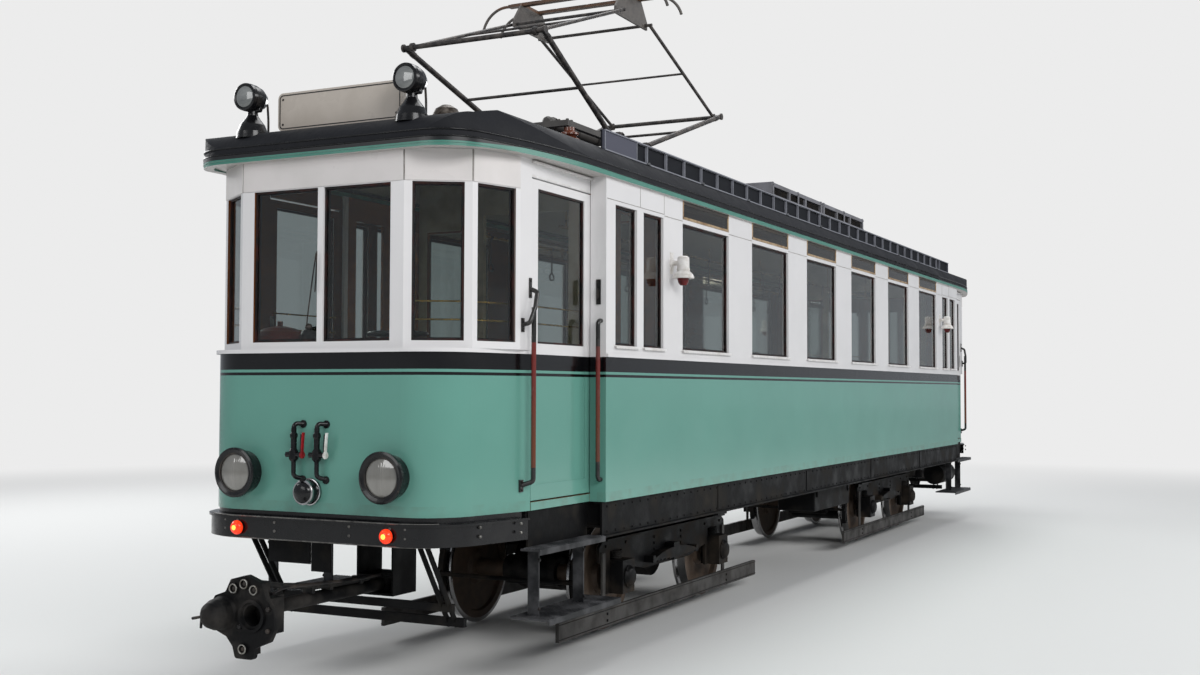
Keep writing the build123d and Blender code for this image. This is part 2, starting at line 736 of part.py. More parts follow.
def make_headlamps():
    """Pair of headlamps on the front apron: deep drums with a rolled rim and a sunk lens."""
    drum = (
        (-30, 0), (-30, 118), (70, 128), (78, 142), (96, 142),
        (100, 130), (90, 104), (70, 100), (66, 0),
    )
    lamps = []
    for side in for_both_sides:
        lamps.append(turned(drum, (-half_length, side * 508, 1206), (-1, 0, 0)))
    apron = slab(end_outline(half_length, front_corner_y, corner_radius), body_bottom, waist)
    return [lamp - apron for lamp in lamps]


def make_end_fittings():
    """Tail lamps on the bumper, round socket and two pipe cocks on the front apron."""
    face = -half_length
    pieces = []
    lamp = ((-20, 0), (-20, 36), (16, 36), (20, 30), (34, 24), (40, 0))
    bumper_form = slab(end_outline(half_length, front_corner_y, corner_radius, -bumper_proud),
                       bumper_bottom, bumper_top)
    for side in for_both_sides:
        pieces.append(turned(lamp, (face - bumper_proud, side * 518, 891), (-1, 0, 0)) - bumper_form)
    socket = ((0, 0), (0, 74), (14, 74), (22, 66), (70, 66), (78, 58), (84, 0))
    pieces.append(turned(socket, (face, 33, 1108), (-1, 0, 0)))
    # middle and lower body of a cock: distance above its lower end, radius
    body = ((0, 0), (0, 13), (60, 13), (75, 26), (120, 26), (135, 17), (190, 17), (200, 22), (215, 22),
            (225, 15), (250, 15), (250, 0))
    stand_off = 45.0
    flange = ((-12, 0), (-12, 22), (7, 22), (7, 0))
    for y in (121, -41):
        x = face - stand_off
        cock = turned(body, (x, y, 1215), (0, 0, 1))
        # height on the cock, of the elbow and of its foot on the apron, bend
        for z, elbow_z, foot_z, bend in ((1225, 1192, 1176, 28), (1455, 1490, 1486, 22)):
            cock += bent([(x, y, z), (x, y, elbow_z), (face + 12, y - 40, foot_z)], 13, bend)
            cock += turned(flange, (face, y - 32, foot_z), (-1, 0, 0))
        cock += rod((x, y - 60, 1315), (x, y + 40, 1315), 15)
        cock += rod((x, y - 52, 1315), (x - 6, y - 60, 1430), 7)
        pieces.append(cock - block(face, 0, -500, 500, 0, 2000))
    return pieces


def make_handrails():
    """Hand rails each side of the front near door, on bent brackets."""
    pipe = 14.0
    stand_y = -1036.0
    rail_x = -5945.0
    low_x = -5990.0
    high_x = -5907.0
    apron = slab(end_outline(half_length, front_corner_y, corner_radius), body_bottom, waist)
    front = bent([(-5967, -955, 1134), (rail_x, stand_y, 1162), (rail_x, stand_y, 2150)], pipe, 24)
    # S-shaped bracket over the top of the rail, from the foot plate below to the one at the post
    front += bent([(low_x, -980, 2048), (low_x, stand_y, 2060), (rail_x, stand_y - 8, 2150),
                   (high_x, stand_y, 2240), (high_x, -980, 2264)], 13, 20)
    front += block(-5983, -5951, -976, -955, 1102, 1170)
    front += block(low_x - 15, low_x + 15, -993, -980, 2009, 2088)
    front += block(high_x - 13, high_x + 13, -994, -980, 2207, 2322)
    front -= slab(band_outline(0), waist + 22, wall_top)
    front -= apron
    rear_x = -saloon_half - 42
    rear = bent([(-saloon_half, -1065, 1128), (rear_x, -1065, 1128), (rear_x, -1065, 2110),
                 (-saloon_half, -1065, 2110)], pipe, 26)
    return [front, rear]


def make_side_lamp():
    """Bracket lamp on the saloon side: drum on a back plate, with a flared shade and its lens."""
    x = -4140.0
    y = -1188.0
    foot_z = 2400.0
    # distance up, radius of the lens, the shade and the drum
    drum = (
        (0, 0), (0, 20), (18, 34), (48, 40),
        (44, 72), (50, 76), (74, 66), (96, 43),
        (188, 41), (198, 30), (200, 0),
    )
    lamp = turned(drum, (x, y, foot_z), (0, 0, 1))
    plate = turned(((0, 0), (0, 36), (8, 36), (8, 0)), (x, -half_width, 2552), (0, -1, 0))
    return (lamp + rod((x, y, 2552), (x, -half_width, 2552), 16) + plate).solid()


def knee_place(end, angle):
    """Place along X and height of the knee of the arms at the given angle."""
    x = panto_x + end * (panto_pivot + panto_arm * cos(radians(angle)))
    return x, panto_base_z + panto_arm * sin(radians(angle))


def make_lower_arm(end):
    """Lower arm: two tapering tubes from the base shaft to the knee tube, with a cross brace."""
    foot = (panto_x + end * panto_pivot, panto_base_z)
    knee = knee_place(end, panto_angle)
    pieces = [
        rod((foot[0], -panto_rail_y - 20, foot[1]), (foot[0], panto_rail_y + 20, foot[1]), 24),
        rod((knee[0], -panto_knee_y - 20, knee[1]), (knee[0], panto_knee_y + 20, knee[1]), 17),
    ]
    for side in for_both_sides:
        pieces.append(rod((foot[0], side * panto_foot_y, foot[1]),
                          (knee[0], side * panto_knee_y, knee[1]), 20))
    middle = ((foot[0] + knee[0]) / 2, (foot[1] + knee[1]) / 2)
    middle_y = (panto_foot_y + panto_knee_y) / 2
    pieces.append(rod((middle[0], -middle_y, middle[1]), (middle[0], middle_y, middle[1]), 11))
    return fuse(pieces).solid()


def make_upper_arm(end):
    """Upper arm: two slim tubes from the knee to the head, crossed by a brace."""
    knee = knee_place(end, panto_angle)
    top = (panto_x + end * panto_pivot, 2 * knee[1] - panto_base_z)
    tube_y = panto_knee_y - 60
    along = Vector(top[0] - knee[0], 0, top[1] - knee[1]).normalized()
    pieces = []
    for side in for_both_sides:
        y = side * tube_y
        pieces.append(Pos(knee[0], y, knee[1]) * Rot(90, 0, 0) * Cylinder(30, 24))
        start = Vector(knee[0], y, knee[1]) + along * 24
        pieces.append(rod(tuple(start), (top[0], y, top[1]), 13))
    pieces.append(rod((top[0], -tube_y - 20, top[1]), (top[0], tube_y + 20, top[1]), 12))
    middle = ((top[0] + knee[0]) / 2, (top[1] + knee[1]) / 2)
    pieces.append(rod((middle[0], -tube_y, middle[1]), (middle[0], tube_y, middle[1]), 9))
    arm = fuse(pieces)
    arm -= rod((knee[0], -600, knee[1]), (knee[0], 600, knee[1]), 17.05)
    return arm.solid()


def make_collector_head():
    """Collector head: carriers on the two head rods, two contact strips and horns curved down."""
    top = 2 * knee_place(1, panto_angle)[1] - panto_base_z
    strip_z = top + panto_head_rise
    strip_x = 130.0
    strip_half = 560.0
    tip = (800.0, strip_z - 170)
    pieces = []
    for side in for_both_sides:
        carrier = ((panto_x - 280, top - 28), (panto_x + 280, top - 28), (panto_x + 280, top + 28),
                   (panto_x + strip_x + 25, strip_z), (panto_x - strip_x - 25, strip_z),
                   (panto_x - 280, top + 28))
        pieces.append(side_profile(carrier, side * 430, side * 446))
    for end in for_both_sides:
        x = panto_x + end * strip_x
        pieces.append(block(x - 25, x + 25, -strip_half, strip_half, strip_z - 22, strip_z))
        for side in for_both_sides:
            path = ThreePointArc((x, side * (strip_half - 5), strip_z - 11),
                                 (x, side * (strip_half + 150), strip_z - 45), (x, side * tip[0], tip[1]))
            section = Plane(origin=path @ 0, z_dir=path % 0) * Circle(11)
            pieces.append(sweep(section, path=path))
    head = fuse(pieces)
    head -= rod((panto_x - panto_pivot, -600, top), (panto_x - panto_pivot, 600, top), 12.05)
    # The rear rod has play in the head, the open pivot of the linkage
    head -= rod((panto_x + panto_pivot, -600, top), (panto_x + panto_pivot, 600, top), 14)
    return head.solid()


def make_pantograph_base(roof_solid):
    """Base frame of the pantograph on four insulators, with its bearings and raising springs."""
    low = panto_base_z - 60
    high = panto_base_z - 20
    half = panto_base_half
    pieces = []
    for side in for_both_sides:
        y = side * panto_rail_y
        pieces.append(block(panto_x - half, panto_x + half, y - 20, y + 20, low, high))
        for end in for_both_sides:
            x = panto_x + end * panto_pivot
            pieces.append(side_profile(((x - 60, low), (x + 60, low), (x + 34, panto_base_z + 38),
                                        (x - 34, panto_base_z + 38)), y - 18, y + 18))
            x = panto_x + end * (half - 60)
            skirt = turned(((-200, 0), (-200, 60), (-110, 46), (-100, 74), (-88, 74), (-70, 44), (-58, 66),
                            (-46, 66), (-30, 38), (0, 38), (0, 0)), (x, y, low), (0, 0, 1))
            pieces.append(skirt)
        spring = ((0, 0), (0, 30), (14, 44), (786, 44), (800, 30), (800, 0))
        pieces.append(turned(spring, (panto_x - half + 20, side * 300, low + 40), (1, 0, 0)))
    for x in (panto_x - half + 20, panto_x - panto_pivot - 60, panto_x + half - 20):
        pieces.append(block(x - 20, x + 20, -panto_rail_y, panto_rail_y, low, high))
    base = fuse(pieces) - roof_solid
    for end in for_both_sides:
        x = panto_x + end * panto_pivot
        base -= rod((x, -600, panto_base_z), (x, 600, panto_base_z), 24.05)
    return base.solid()


def make_roof_rails(roof_solid):
    """Edge board along the near side of the roof, held by a ladder of flat iron on its outside."""
    low = 3205.0
    high = 3338.0
    y = -1005.0
    end_x = 5010.0
    plain_end = 4360.0
    bays = 27
    rails = [
        block(-end_x, end_x, y - 20, y + 20, high - 8, high),
        block(-end_x, end_x, y - 20, y + 20, low, low + 8),
        block(-end_x, end_x, y + 5, y + 16, low, high - 8),
        block(-end_x, -end_x + 480, y - 12, y - 6, low, high),
    ]
    bars = [-end_x + 4, -end_x + 480, end_x - 480, end_x - 4]
    bars += [-plain_end + i * 2 * plain_end / bays for i in range(bays + 1)]
    for x in bars:
        rails.append(block(x - 4, x + 4, y - 15, y + 15, low - 40, high - 4))
    return (fuse(rails) - roof_solid).solid()


def make_resistor_boxes(roof_solid):
    """Starting resistors on the roof: a cable box and two long cases with open bays in their sides."""
    base = roof_crown + 20
    bays = 3
    pieces = []
    # x0, x1, half width, height
    boxes = (
        (-1950.0, -800.0, 300.0, 120.0),
        (-760.0, 780.0, 640.0, 240.0),
        (820.0, 2340.0, 640.0, 240.0),
    )
    for x0, x1, half, height in boxes:
        box = block(x0, x1, -half, half, base, base + height)
        if height > 200:
            bay = (x1 - x0 - 40) / bays
            for i in range(bays):
                start = x0 + 40 + i * bay
                for side in for_both_sides:
                    for z in (base + 32, base + 132):
                        box -= block(start, start + bay - 40, side * (half - 45), side * (half + 5),
                                     z, z + 72)
        for x in (x0 + 120, x1 - 120):
            box += block(x - 25, x + 25, -half + 20, half - 20, base - 110, base) - roof_solid
        pieces.append(box.solid())
    return group(pieces)


def make_destination_board(roof_solid):
    """Blank destination board over the front windows: a flat case with round corners on two posts."""
    x = -6390.0
    middle_z = 3312.0
    face = RectangleRounded(884, 226, 36)
    board = Pos(x - 20, 0, middle_z) * extrude(Plane.YZ * face, 40)
    for y in (-300, 300):
        board += block(x - 12, x + 60, y - 20, y + 20, 3120, 3260)
    return (board - roof_solid).solid()


def make_roof_lamps(roof_solid):
    """Pair of round spot lamps over the front corners, each a deep bowl on a flared post."""
    lamps = []
    bowl = (
        (0, 0), (0, 62), (6, 78), (22, 82), (60, 81),
        (104, 72), (146, 50), (172, 24), (182, 12), (184, 0),
    )
    post = ((0, 0), (0, 96), (40, 90), (84, 72), (118, 46), (140, 32), (190, 27), (190, 0))
    for side in for_both_sides:
        lamp = turned(bowl, (-6560, side * 565, 3391), (1, 0, 0))
        lamp += turned(post, (-6490, side * 565, 3150), (0, 0, 1))
        lamps.append((lamp - roof_solid).solid())
    return lamps


def make_bell(roof_solid):
    """Warning bell on the front of the roof."""
    dome = ((0, 0), (0, 78), (30, 82), (70, 62), (92, 26), (96, 0))
    return (turned(dome, (-6350, -700, 3170), (0, 0, 1)) - roof_solid).solid()


def write(node, shape):
    """Write one node, lifted so that the flanges stand on the floor."""
    export_step(Pos(0, 0, flange_height) * shape, "parts/" + node + ".step")


def both_ends(pieces):
    """The pieces of the front and their like at the rear."""
    return list(pieces) + [other_end(piece) for piece in pieces]


def both_sides(pieces):
    """The pieces of the near side and their like on the far side."""
    return list(pieces) + [other_side(piece) for piece in pieces]


def main():
    os.makedirs("parts", exist_ok=True)
    roof_solid = roof_form(0)
    hollow = roof_hollow()
    under_roof = hollow + block(-half_length, half_length, -half_width, half_width,
                                0, wall_top + cornice_depth)
    write("floor", make_floor())
    write("underframe", make_underframe())
    front_end = make_end()
    write("front_end", front_end)
    write("rear_end", other_end(front_end))
    side_wall = make_side_wall()
    write("side_wall_left", side_wall)
    write("side_wall_right", other_side(side_wall))
    write("pocket_linings", group(both_ends(both_sides(make_pocket()))))
    write("cornice", make_cornice())
    write("roof", make_roof(roof_solid, hollow))
    door = make_door()
    write("door_front_left", door)
    write("door_front_right", other_side(door))
    write("door_rear_left", other_end(door))
    write("door_rear_right", other_end(other_side(door)))
    write("partitions", group(both_ends([make_partition(under_roof)])))
    write("seats", make_seats())
    write("driver_stands", group(both_ends(make_driver_stand().solids())))
    write("window_vents", group(both_sides(make_window_vents())))
    side_glass = make_side_glass()
    write("glass_left", side_glass)
    write("glass_right", other_side(side_glass))
    end_glass = make_end_glass()
    write("glass_front", end_glass)
    write("glass_rear", other_end(end_glass))

    write("bumpers", group(both_ends([make_bumper()])))
    write("steps", group(both_ends(both_sides([make_steps()]))))
    write("lifeguards", group(both_ends([make_lifeguard()])))
    write("headlamps", group(both_ends(make_headlamps())))
    write("end_fittings", group(both_ends(make_end_fittings())))
    write("handrails", group(both_ends(both_sides(make_handrails()))))
    write("side_lamps", group(both_ends(both_sides([make_side_lamp()]))))

    write("roof_rails", group(both_sides([make_roof_rails(roof_solid)])))
    write("resistor_boxes", make_resistor_boxes(roof_solid))
    write("destination_boards", group(both_ends([make_destination_board(roof_solid)])))
    write("roof_lamps", group(both_ends(make_roof_lamps(roof_solid))))
    bell = make_bell(roof_solid)
    write("bells", group([bell, other_end(other_side(bell))]))
    write("pantograph_base", make_pantograph_base(roof_solid))
    write("lower_arm_front", make_lower_arm(-1))
    write("lower_arm_rear", make_lower_arm(1))
    write("upper_arm_front", make_upper_arm(-1))
    write("upper_arm_rear", make_upper_arm(1))
    write("collector_head", make_collector_head())

    frame = make_bogie_frame()
    motors = make_motors()
    guard_boards = make_guard_boards()
    # place of the bogie along the car, its end
    for x, end in ((-bogie_centre, "front"), (bogie_centre, "rear")):
        write("bogie_frame_" + end, Pos(x, 0, 0) * frame)
        write("motors_" + end, Pos(x, 0, 0) * motors)
        write("guard_boards_" + end, Pos(x, 0, 0) * guard_boards)
    axles = [end * bogie_centre + axle * wheelbase / 2
             for end in for_both_sides for axle in for_both_sides]
    for i, x in enumerate(axles):
        write("wheelset_" + str(i + 1), make_wheelset(x))
    coupler = make_coupler()
    write("coupler_front", coupler)
    write("coupler_rear", other_end(coupler))


main()
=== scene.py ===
import math

import bmesh
import bpy
from mathutils import Matrix, Vector


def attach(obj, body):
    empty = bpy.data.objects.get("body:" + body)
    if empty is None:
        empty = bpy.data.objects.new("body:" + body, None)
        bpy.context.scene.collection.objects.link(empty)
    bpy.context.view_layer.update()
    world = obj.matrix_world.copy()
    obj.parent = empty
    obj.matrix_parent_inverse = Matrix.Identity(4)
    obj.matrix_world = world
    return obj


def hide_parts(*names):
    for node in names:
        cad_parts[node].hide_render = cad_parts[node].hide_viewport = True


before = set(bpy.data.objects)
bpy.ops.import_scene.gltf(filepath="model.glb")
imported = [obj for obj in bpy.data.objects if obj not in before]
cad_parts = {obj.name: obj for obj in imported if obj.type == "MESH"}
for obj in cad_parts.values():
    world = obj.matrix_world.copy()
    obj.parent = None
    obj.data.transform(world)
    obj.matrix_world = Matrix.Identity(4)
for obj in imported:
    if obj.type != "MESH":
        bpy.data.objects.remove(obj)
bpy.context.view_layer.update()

# The studio. A pale floor runs out to a pale world, and soft lights stand around the car: a key
# light off the near front corner, a strip along each side, one before each end and one overhead.
scene = bpy.context.scene
scene.view_settings.view_transform = "Standard"


def linear(red, green, blue):
    """A colour given as it looks, 0 to 255, turned into the light values that shaders take."""
    values = []
    for channel in (red, green, blue):
        share = channel / 255
        values.append(share / 12.92 if share < 0.04045 else ((share + 0.055) / 1.055) ** 2.4)
    return (*values, 1)


def blank_material(name):
    """A new material with its node tree, shader and output, and the shader's node."""
    material = bpy.data.materials.new(name)
    material.use_nodes = True
    return material, material.node_tree, material.node_tree.nodes["Principled BSDF"]


def fill(node, inputs):
    """Set inputs of a node, each to a value or to another node's output."""
    for socket, value in inputs.items():
        if isinstance(value, bpy.types.NodeSocket):
            node.id_data.links.new(value, node.inputs[socket])
        else:
            node.inputs[socket].default_value = value


def new_node(tree, kind, inputs, output=0, **settings):
    """Add a shader node, set it up and return one of its outputs."""
    node = tree.nodes.new("ShaderNode" + kind)
    for name, value in settings.items():
        setattr(node, name, value)
    fill(node, inputs)
    return node.outputs[output]


backdrop = linear(236, 236, 236)
floor_material, tree, shader = blank_material("studio_floor")
floor_grain = new_node(tree, "TexNoise", {"Scale": 40})
floor_bump = new_node(tree, "Bump", {"Strength": 0.05, "Height": floor_grain})
fill(shader, {"Base Color": linear(216, 216, 214), "Roughness": 0.75, "Normal": floor_bump})

# Away from the car the floor fades into the pale backdrop, so no horizon shows.
floor_place = new_node(tree, "TexCoord", {}, "Object")
floor_reach = new_node(tree, "VectorMath", {0: floor_place}, "Value", operation="LENGTH")
fade_range = {"Value": floor_reach, "From Min": 9, "From Max": 21}
fade = new_node(tree, "MapRange", fade_range, interpolation_type="SMOOTHSTEP")
floor_ray = new_node(tree, "LightPath", {}, "Is Camera Ray")
only_seen = new_node(tree, "Math", {0: fade, 1: floor_ray}, operation="MULTIPLY")
far_floor = new_node(tree, "Emission", {"Color": backdrop})
floor_mix = new_node(tree, "MixShader", {0: only_seen, 1: shader.outputs[0], 2: far_floor})
fill(tree.nodes["Material Output"], {"Surface": floor_mix})

floor_mesh = bpy.data.meshes.new("studio_floor")
drawing = bmesh.new()
bmesh.ops.create_circle(drawing, cap_ends=True, radius=120, segments=96)
drawing.to_mesh(floor_mesh)
drawing.free()
floor_mesh.materials.append(floor_material)
floor = bpy.data.objects.new("studio_floor", floor_mesh)
scene.collection.objects.link(floor)

world = bpy.data.worlds.new("studio_world")
scene.world = world
world.use_nodes = True
sky = world.node_tree
sky.nodes.clear()
lit = new_node(sky, "Background", {"Color": linear(226, 232, 240), "Strength": 0.42})
seen = new_node(sky, "Background", {"Color": backdrop})
ray = new_node(sky, "LightPath", {}, "Is Camera Ray")
choice = new_node(sky, "MixShader", {0: ray, 1: lit, 2: seen})
fill(sky.nodes.new("ShaderNodeOutputWorld"), {"Surface": choice})

# Each light's name, place, the point it looks at, its width, its height and its power
lights = (
    ("key", (-13, -13, 9), (-3, 0, 1.5), 9, 5, 1250),
    ("front", (-17, 3, 6), (-6, 0, 1.8), 6, 4, 235),
    ("near_side", (4, -14, 8), (2, 0, 1.5), 12, 4, 850),
    ("far_side", (0, 14, 8), (0, 0, 1.8), 14, 4, 1100),
    ("overhead", (0, 0, 12), (0, 0, 0), 12, 6, 750),
    ("rear", (16, 5, 6), (6, 0, 1.8), 6, 4, 500),
)
for name, place, aim, width, height, power in lights:
    lamp = bpy.data.lights.new(name, "AREA")
    lamp.shape = "RECTANGLE"
    lamp.size = width
    lamp.size_y = height
    lamp.energy = power
    stand = bpy.data.objects.new(name, lamp)
    stand.location = place
    stand.rotation_euler = (Vector(aim) - Vector(place)).to_track_quat("-Z", "Y").to_euler()
    scene.collection.objects.link(stand)

# The camera stands where the photographer stood, beside the front corner at eye height. Its place
# in metres, its aim, and its lens in pixels were worked out from the car's own straight lines.
rail_top = 0.025
eye = Vector((-12.616, -4.805, 1.683 + rail_top))
heading = math.radians(26.652)
pitch = math.radians(2.217)
roll = math.radians(0.150)
sensor = 36
photo_width, focal_length = 1200, 1346.25
camera_data = bpy.data.cameras.new("camera")
camera_data.sensor_width = sensor
camera_data.lens = sensor * (focal_length / photo_width)
camera_data.clip_end = 400
camera = bpy.data.objects.new("camera", camera_data)
level = math.cos(pitch)
forward = Vector((math.cos(heading) * level, math.sin(heading) * level, math.sin(pitch)))
level_right = Vector((math.sin(heading), -math.cos(heading), 0))
level_up = level_right.cross(forward)
right = level_right * math.cos(roll) + level_up * math.sin(roll)
up = right.cross(forward)
camera.matrix_world = Matrix.Translation(eye) @ Matrix((right, up, -forward)).transposed().to_4x4()
scene.collection.objects.link(camera)
scene.camera = camera

# The saloon sides are steel sheet on an oak frame, brushed with gloss enamel: sea green below, a
# black waist band with a fine black line under it, and white round the windows. The coats are
# old, so the gloss is uneven, the foot is dusty and the inner face is varnished panelling.


def grain(tree, scale, detail=4, stretch=(1, 1, 1)):
    """Noise fixed to the piece, finer for a larger scale, drawn out where stretch is small."""
    place = new_node(tree, "TexCoord", {}, "Object")
    drawn_out = new_node(tree, "Mapping", {"Vector": place, "Scale": stretch})
    return new_node(tree, "TexNoise", {"Vector": drawn_out, "Scale": scale, "Detail": detail})


def spread(tree, value, low, high, to_low=0, to_high=1):
    """A value between two limits moved to two others, and held there beyond them."""
    limits = {"From Min": low, "From Max": high, "To Min": to_low, "To Max": to_high}
    return new_node(tree, "MapRange", {"Value": value, **limits})


def mixed(tree, share, first, second):
    """Two colours mixed: the first where the share is 0, the second where it is 1."""
    return new_node(tree, "Mix", {0: share, 6: first, 7: second}, 2, data_type="RGBA")


def relief(tree, height, strength, depth):
    """Relief on a surface from a height between 0 and 1, its depth in metres."""
    return new_node(tree, "Bump", {"Height": height, "Strength": strength, "Distance": depth})


def measure(tree, what, axis, from_middle=False):
    """One axis of a point's place on the car (Object) or in its own box (Generated), or of the
    way its face looks (Normal). From the middle, both ends or both sides count alike."""
    value = new_node(tree, "TexCoord", {}, what)
    if from_middle:
        value = new_node(tree, "VectorMath", {0: value}, operation="ABSOLUTE")
    return new_node(tree, "SeparateXYZ", {"Vector": value}, axis)


def by_height(tree, tops_and_colours):
    """Bands of colour one over another: each goes up to its height over the rail in metres."""
    height = measure(tree, "Object", "Z")
    below = tops_and_colours[0][1]
    for (top, _), (_, colour) in zip(tops_and_colours, tops_and_colours[1:]):
        over = new_node(tree, "Math", {0: height, 1: rail_top + top}, operation="GREATER_THAN")
        below = mixed(tree, over, below, colour)
    return below


def faces_inward(tree, centre_x):
    """1 where a face looks in towards the middle of the body, else 0."""
    place = new_node(tree, "TexCoord", {}, "Object")
    offset = new_node(tree, "VectorMath", {0: place, 1: (centre_x, 0, 0)}, operation="SUBTRACT")
    level_only = (1 if centre_x else 0, 1, 0)
    flat = new_node(tree, "VectorMath", {0: offset, 1: level_only}, operation="MULTIPLY")
    normal = new_node(tree, "TexCoord", {}, "Normal")
    facing = new_node(tree, "VectorMath", {0: normal, 1: flat}, "Value", operation="DOT_PRODUCT")
    return spread(tree, facing, -0.02, -0.2)


sea_green = linear(98, 150, 137)
band_black = linear(10, 10, 12)
window_white = linear(221, 219, 219)
panelling = linear(112, 66, 34)
fine_line = 1.771
band_foot = 1.793
band_top = 1.886
side_bands = (
    (fine_line - 0.011, sea_green),
    (fine_line + 0.006, band_black),
    (band_foot, sea_green),
    (band_top, band_black),
    (5, window_white),
)


def enamel(name, centre_x=0):
    """Gloss enamel in bands, a little uneven and dusty, with varnished panelling on inner faces."""
    material, tree, shader = blank_material(name)
    clouds = spread(tree, grain(tree, 1.3, 5), 0.3, 0.7, 0.965, 1.035)
    patchy = new_node(tree, "HueSaturation", {"Value": clouds, "Color": by_height(tree, side_bands)})
    foot = by_height(tree, ((1.05, linear(255, 255, 255)), (5, linear(0, 0, 0))))
    specks = spread(tree, grain(tree, 9, 8), 0.42, 0.75, 0, 0.3)
    dusty = new_node(tree, "Math", {0: foot, 1: specks}, operation="MULTIPLY")
    outer = mixed(tree, dusty, patchy, linear(92, 84, 72))
    dark_panelling = (*(light * 0.6 for light in panelling[:3]), 1)
    wood = mixed(tree, grain(tree, 14, 6, (0.15, 1, 1)), dark_panelling, panelling)
    fill(shader, {
        "Base Color": mixed(tree, faces_inward(tree, centre_x), outer, wood),
        "Roughness": spread(tree, grain(tree, 5, 6), 0.3, 0.75, 0.1, 0.26),
        "Normal": relief(tree, grain(tree, 2.2, 2), 0.2, 0.005),
        "Specular IOR Level": 0.4, "Coat Weight": 0.25, "Coat Roughness": 0.06,
    })
    return material


def give(node, *materials):
    """Put finishes on a node of the frame in place of its plain one."""
    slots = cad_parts[node].data.materials
    slots.clear()
    for material in materials:
        slots.append(material)


side_enamel = enamel("side_enamel")
for node in ("side_wall_left", "side_wall_right"):
    give(node, side_enamel)

# The platform ends are beaten from sheet over ash posts and wear the same enamel as the sides,
# its bands in line with theirs, and varnished panelling inside.
give("front_end", enamel("front_enamel", -5.9))
give("rear_end", enamel("rear_enamel", 5.9))

# The cornice is a wooden moulding round the whole roof edge, painted a deeper green over a pale
# soffit. At the ends the tar of the roof comes down over its upper half.
cornice_green, tree, shader = blank_material("cornice_green")
tint = mixed(tree, grain(tree, 6, 6), linear(56, 116, 102), linear(80, 136, 122))
from_middle = measure(tree, "Object", "X", True)
tar_foot = spread(tree, from_middle, 6, 6.45, rail_top + 3.045, rail_top + 3.019)
height = measure(tree, "Object", "Z", True)
tarred = new_node(tree, "Math", {0: height, 1: tar_foot}, operation="GREATER_THAN")
moulding = mixed(tree, tarred, tint, linear(14, 15, 18))
below = spread(tree, measure(tree, "Normal", "Z"), -0.5, -0.8)
soffit = mixed(tree, below, moulding, linear(176, 172, 168))
fill(shader, {"Base Color": soffit, "Roughness": 0.35})
give("cornice", cornice_green)

# The sliding doors are panelled oak with a sheet skin, enamelled in line with the sides. Each
# slides into a pocket between the side's skin and a lining inside.
door_enamel = enamel("door_enamel")
for end in ("front", "rear"):
    for side in ("left", "right"):
        give("door_%s_%s" % (end, side), door_enamel)

# The roof is matchboarding under canvas, tarred many times: black, wrinkled and shiny in places.
# Its inner face is a painted ceiling.
canvas, tree, shader = blank_material("tarred_canvas")
patches = grain(tree, 2.6, 9)
tar = mixed(tree, patches, linear(10, 11, 14), linear(36, 37, 42))
under = spread(tree, measure(tree, "Normal", "Z"), -0.2, -0.5)
fill(shader, {
    "Base Color": mixed(tree, under, tar, linear(205, 196, 176)),
    "Roughness": spread(tree, patches, 0.35, 0.7, 0.5, 0.8),
    "Normal": relief(tree, grain(tree, 11, 8, (0.6, 1, 1)), 0.6, 0.012),
    "Specular IOR Level": 0.2,
})
give("roof", canvas)

# Window panes are plain drawn glass, 6 mm thick, a little wavy and greenish. They are bedded in
# the posts behind the sheets.
clear = {"IOR": 1.45, "Transmission Weight": 1}
pane_glass, tree, shader = blank_material("pane_glass")
fill(shader, {
    "Base Color": linear(212, 218, 215), "Roughness": 0.02, **clear,
    "Normal": relief(tree, grain(tree, 1.6, 1), 0.05, 0.01),
})
for node in ("glass_left", "glass_right", "glass_front", "glass_rear"):
    give(node, pane_glass)

# Underframe, bogies and draw gear are riveted and forged steel under black paint, dulled by
# brake dust and road dirt, more on the bogies and couplers than on the frame.


def chassis_black(name, dirt, share):
    """Old black chassis paint with dirt of a colour over a share of it."""
    material, tree, shader = blank_material(name)
    soil = grain(tree, 5, 10)
    amount = spread(tree, soil, 0.62 - share * 0.3, 0.8 - share * 0.2, 0, 0.85)
    fill(shader, {
        "Base Color": mixed(tree, amount, linear(14, 14, 15), dirt),
        "Roughness": spread(tree, soil, 0.3, 0.7, 0.38, 0.8),
        "Normal": relief(tree, grain(tree, 60, 6), 0.35, 0.003),
        "Specular IOR Level": 0.12,
    })
    return material


frame_black = chassis_black("frame_black", linear(44, 41, 37), 0.35)
bogie_black = chassis_black("bogie_black", linear(54, 47, 40), 0.55)
cast_black = chassis_black("cast_black", linear(64, 61, 58), 0.55)
give("underframe", frame_black)
for end in ("front", "rear"):
    give("bogie_frame_" + end, bogie_black)
    give("motors_" + end, cast_black)
    give("coupler_" + end, cast_black)
give("lifeguards", frame_black)

# The windows. Panes sit behind narrow blackened frames, and each saloon window has a pressed
# white drip sill with a scalloped lip. From here on pieces are drawn in millimetres over the rail.


def rings(drawing, loops, coat=0, closed=False):
    """Join loops of points one after another into a skin, with its two ends filled in."""
    made = [[drawing.verts.new(point) for point in loop] for loop in loops]
    count = len(made[0])
    pairs = list(zip(made, made[1:]))
    if closed:
        pairs.append((made[-1], made[0]))
    faces = []
    for one, other in pairs:
        for i in range(count):
            j = (i + 1) % count
            faces.append(drawing.faces.new((one[i], one[j], other[j], other[i])))
    if not closed:
        faces.append(drawing.faces.new(made[0][::-1]))
        faces.append(drawing.faces.new(made[-1]))
    for face in faces:
        face.material_index = coat


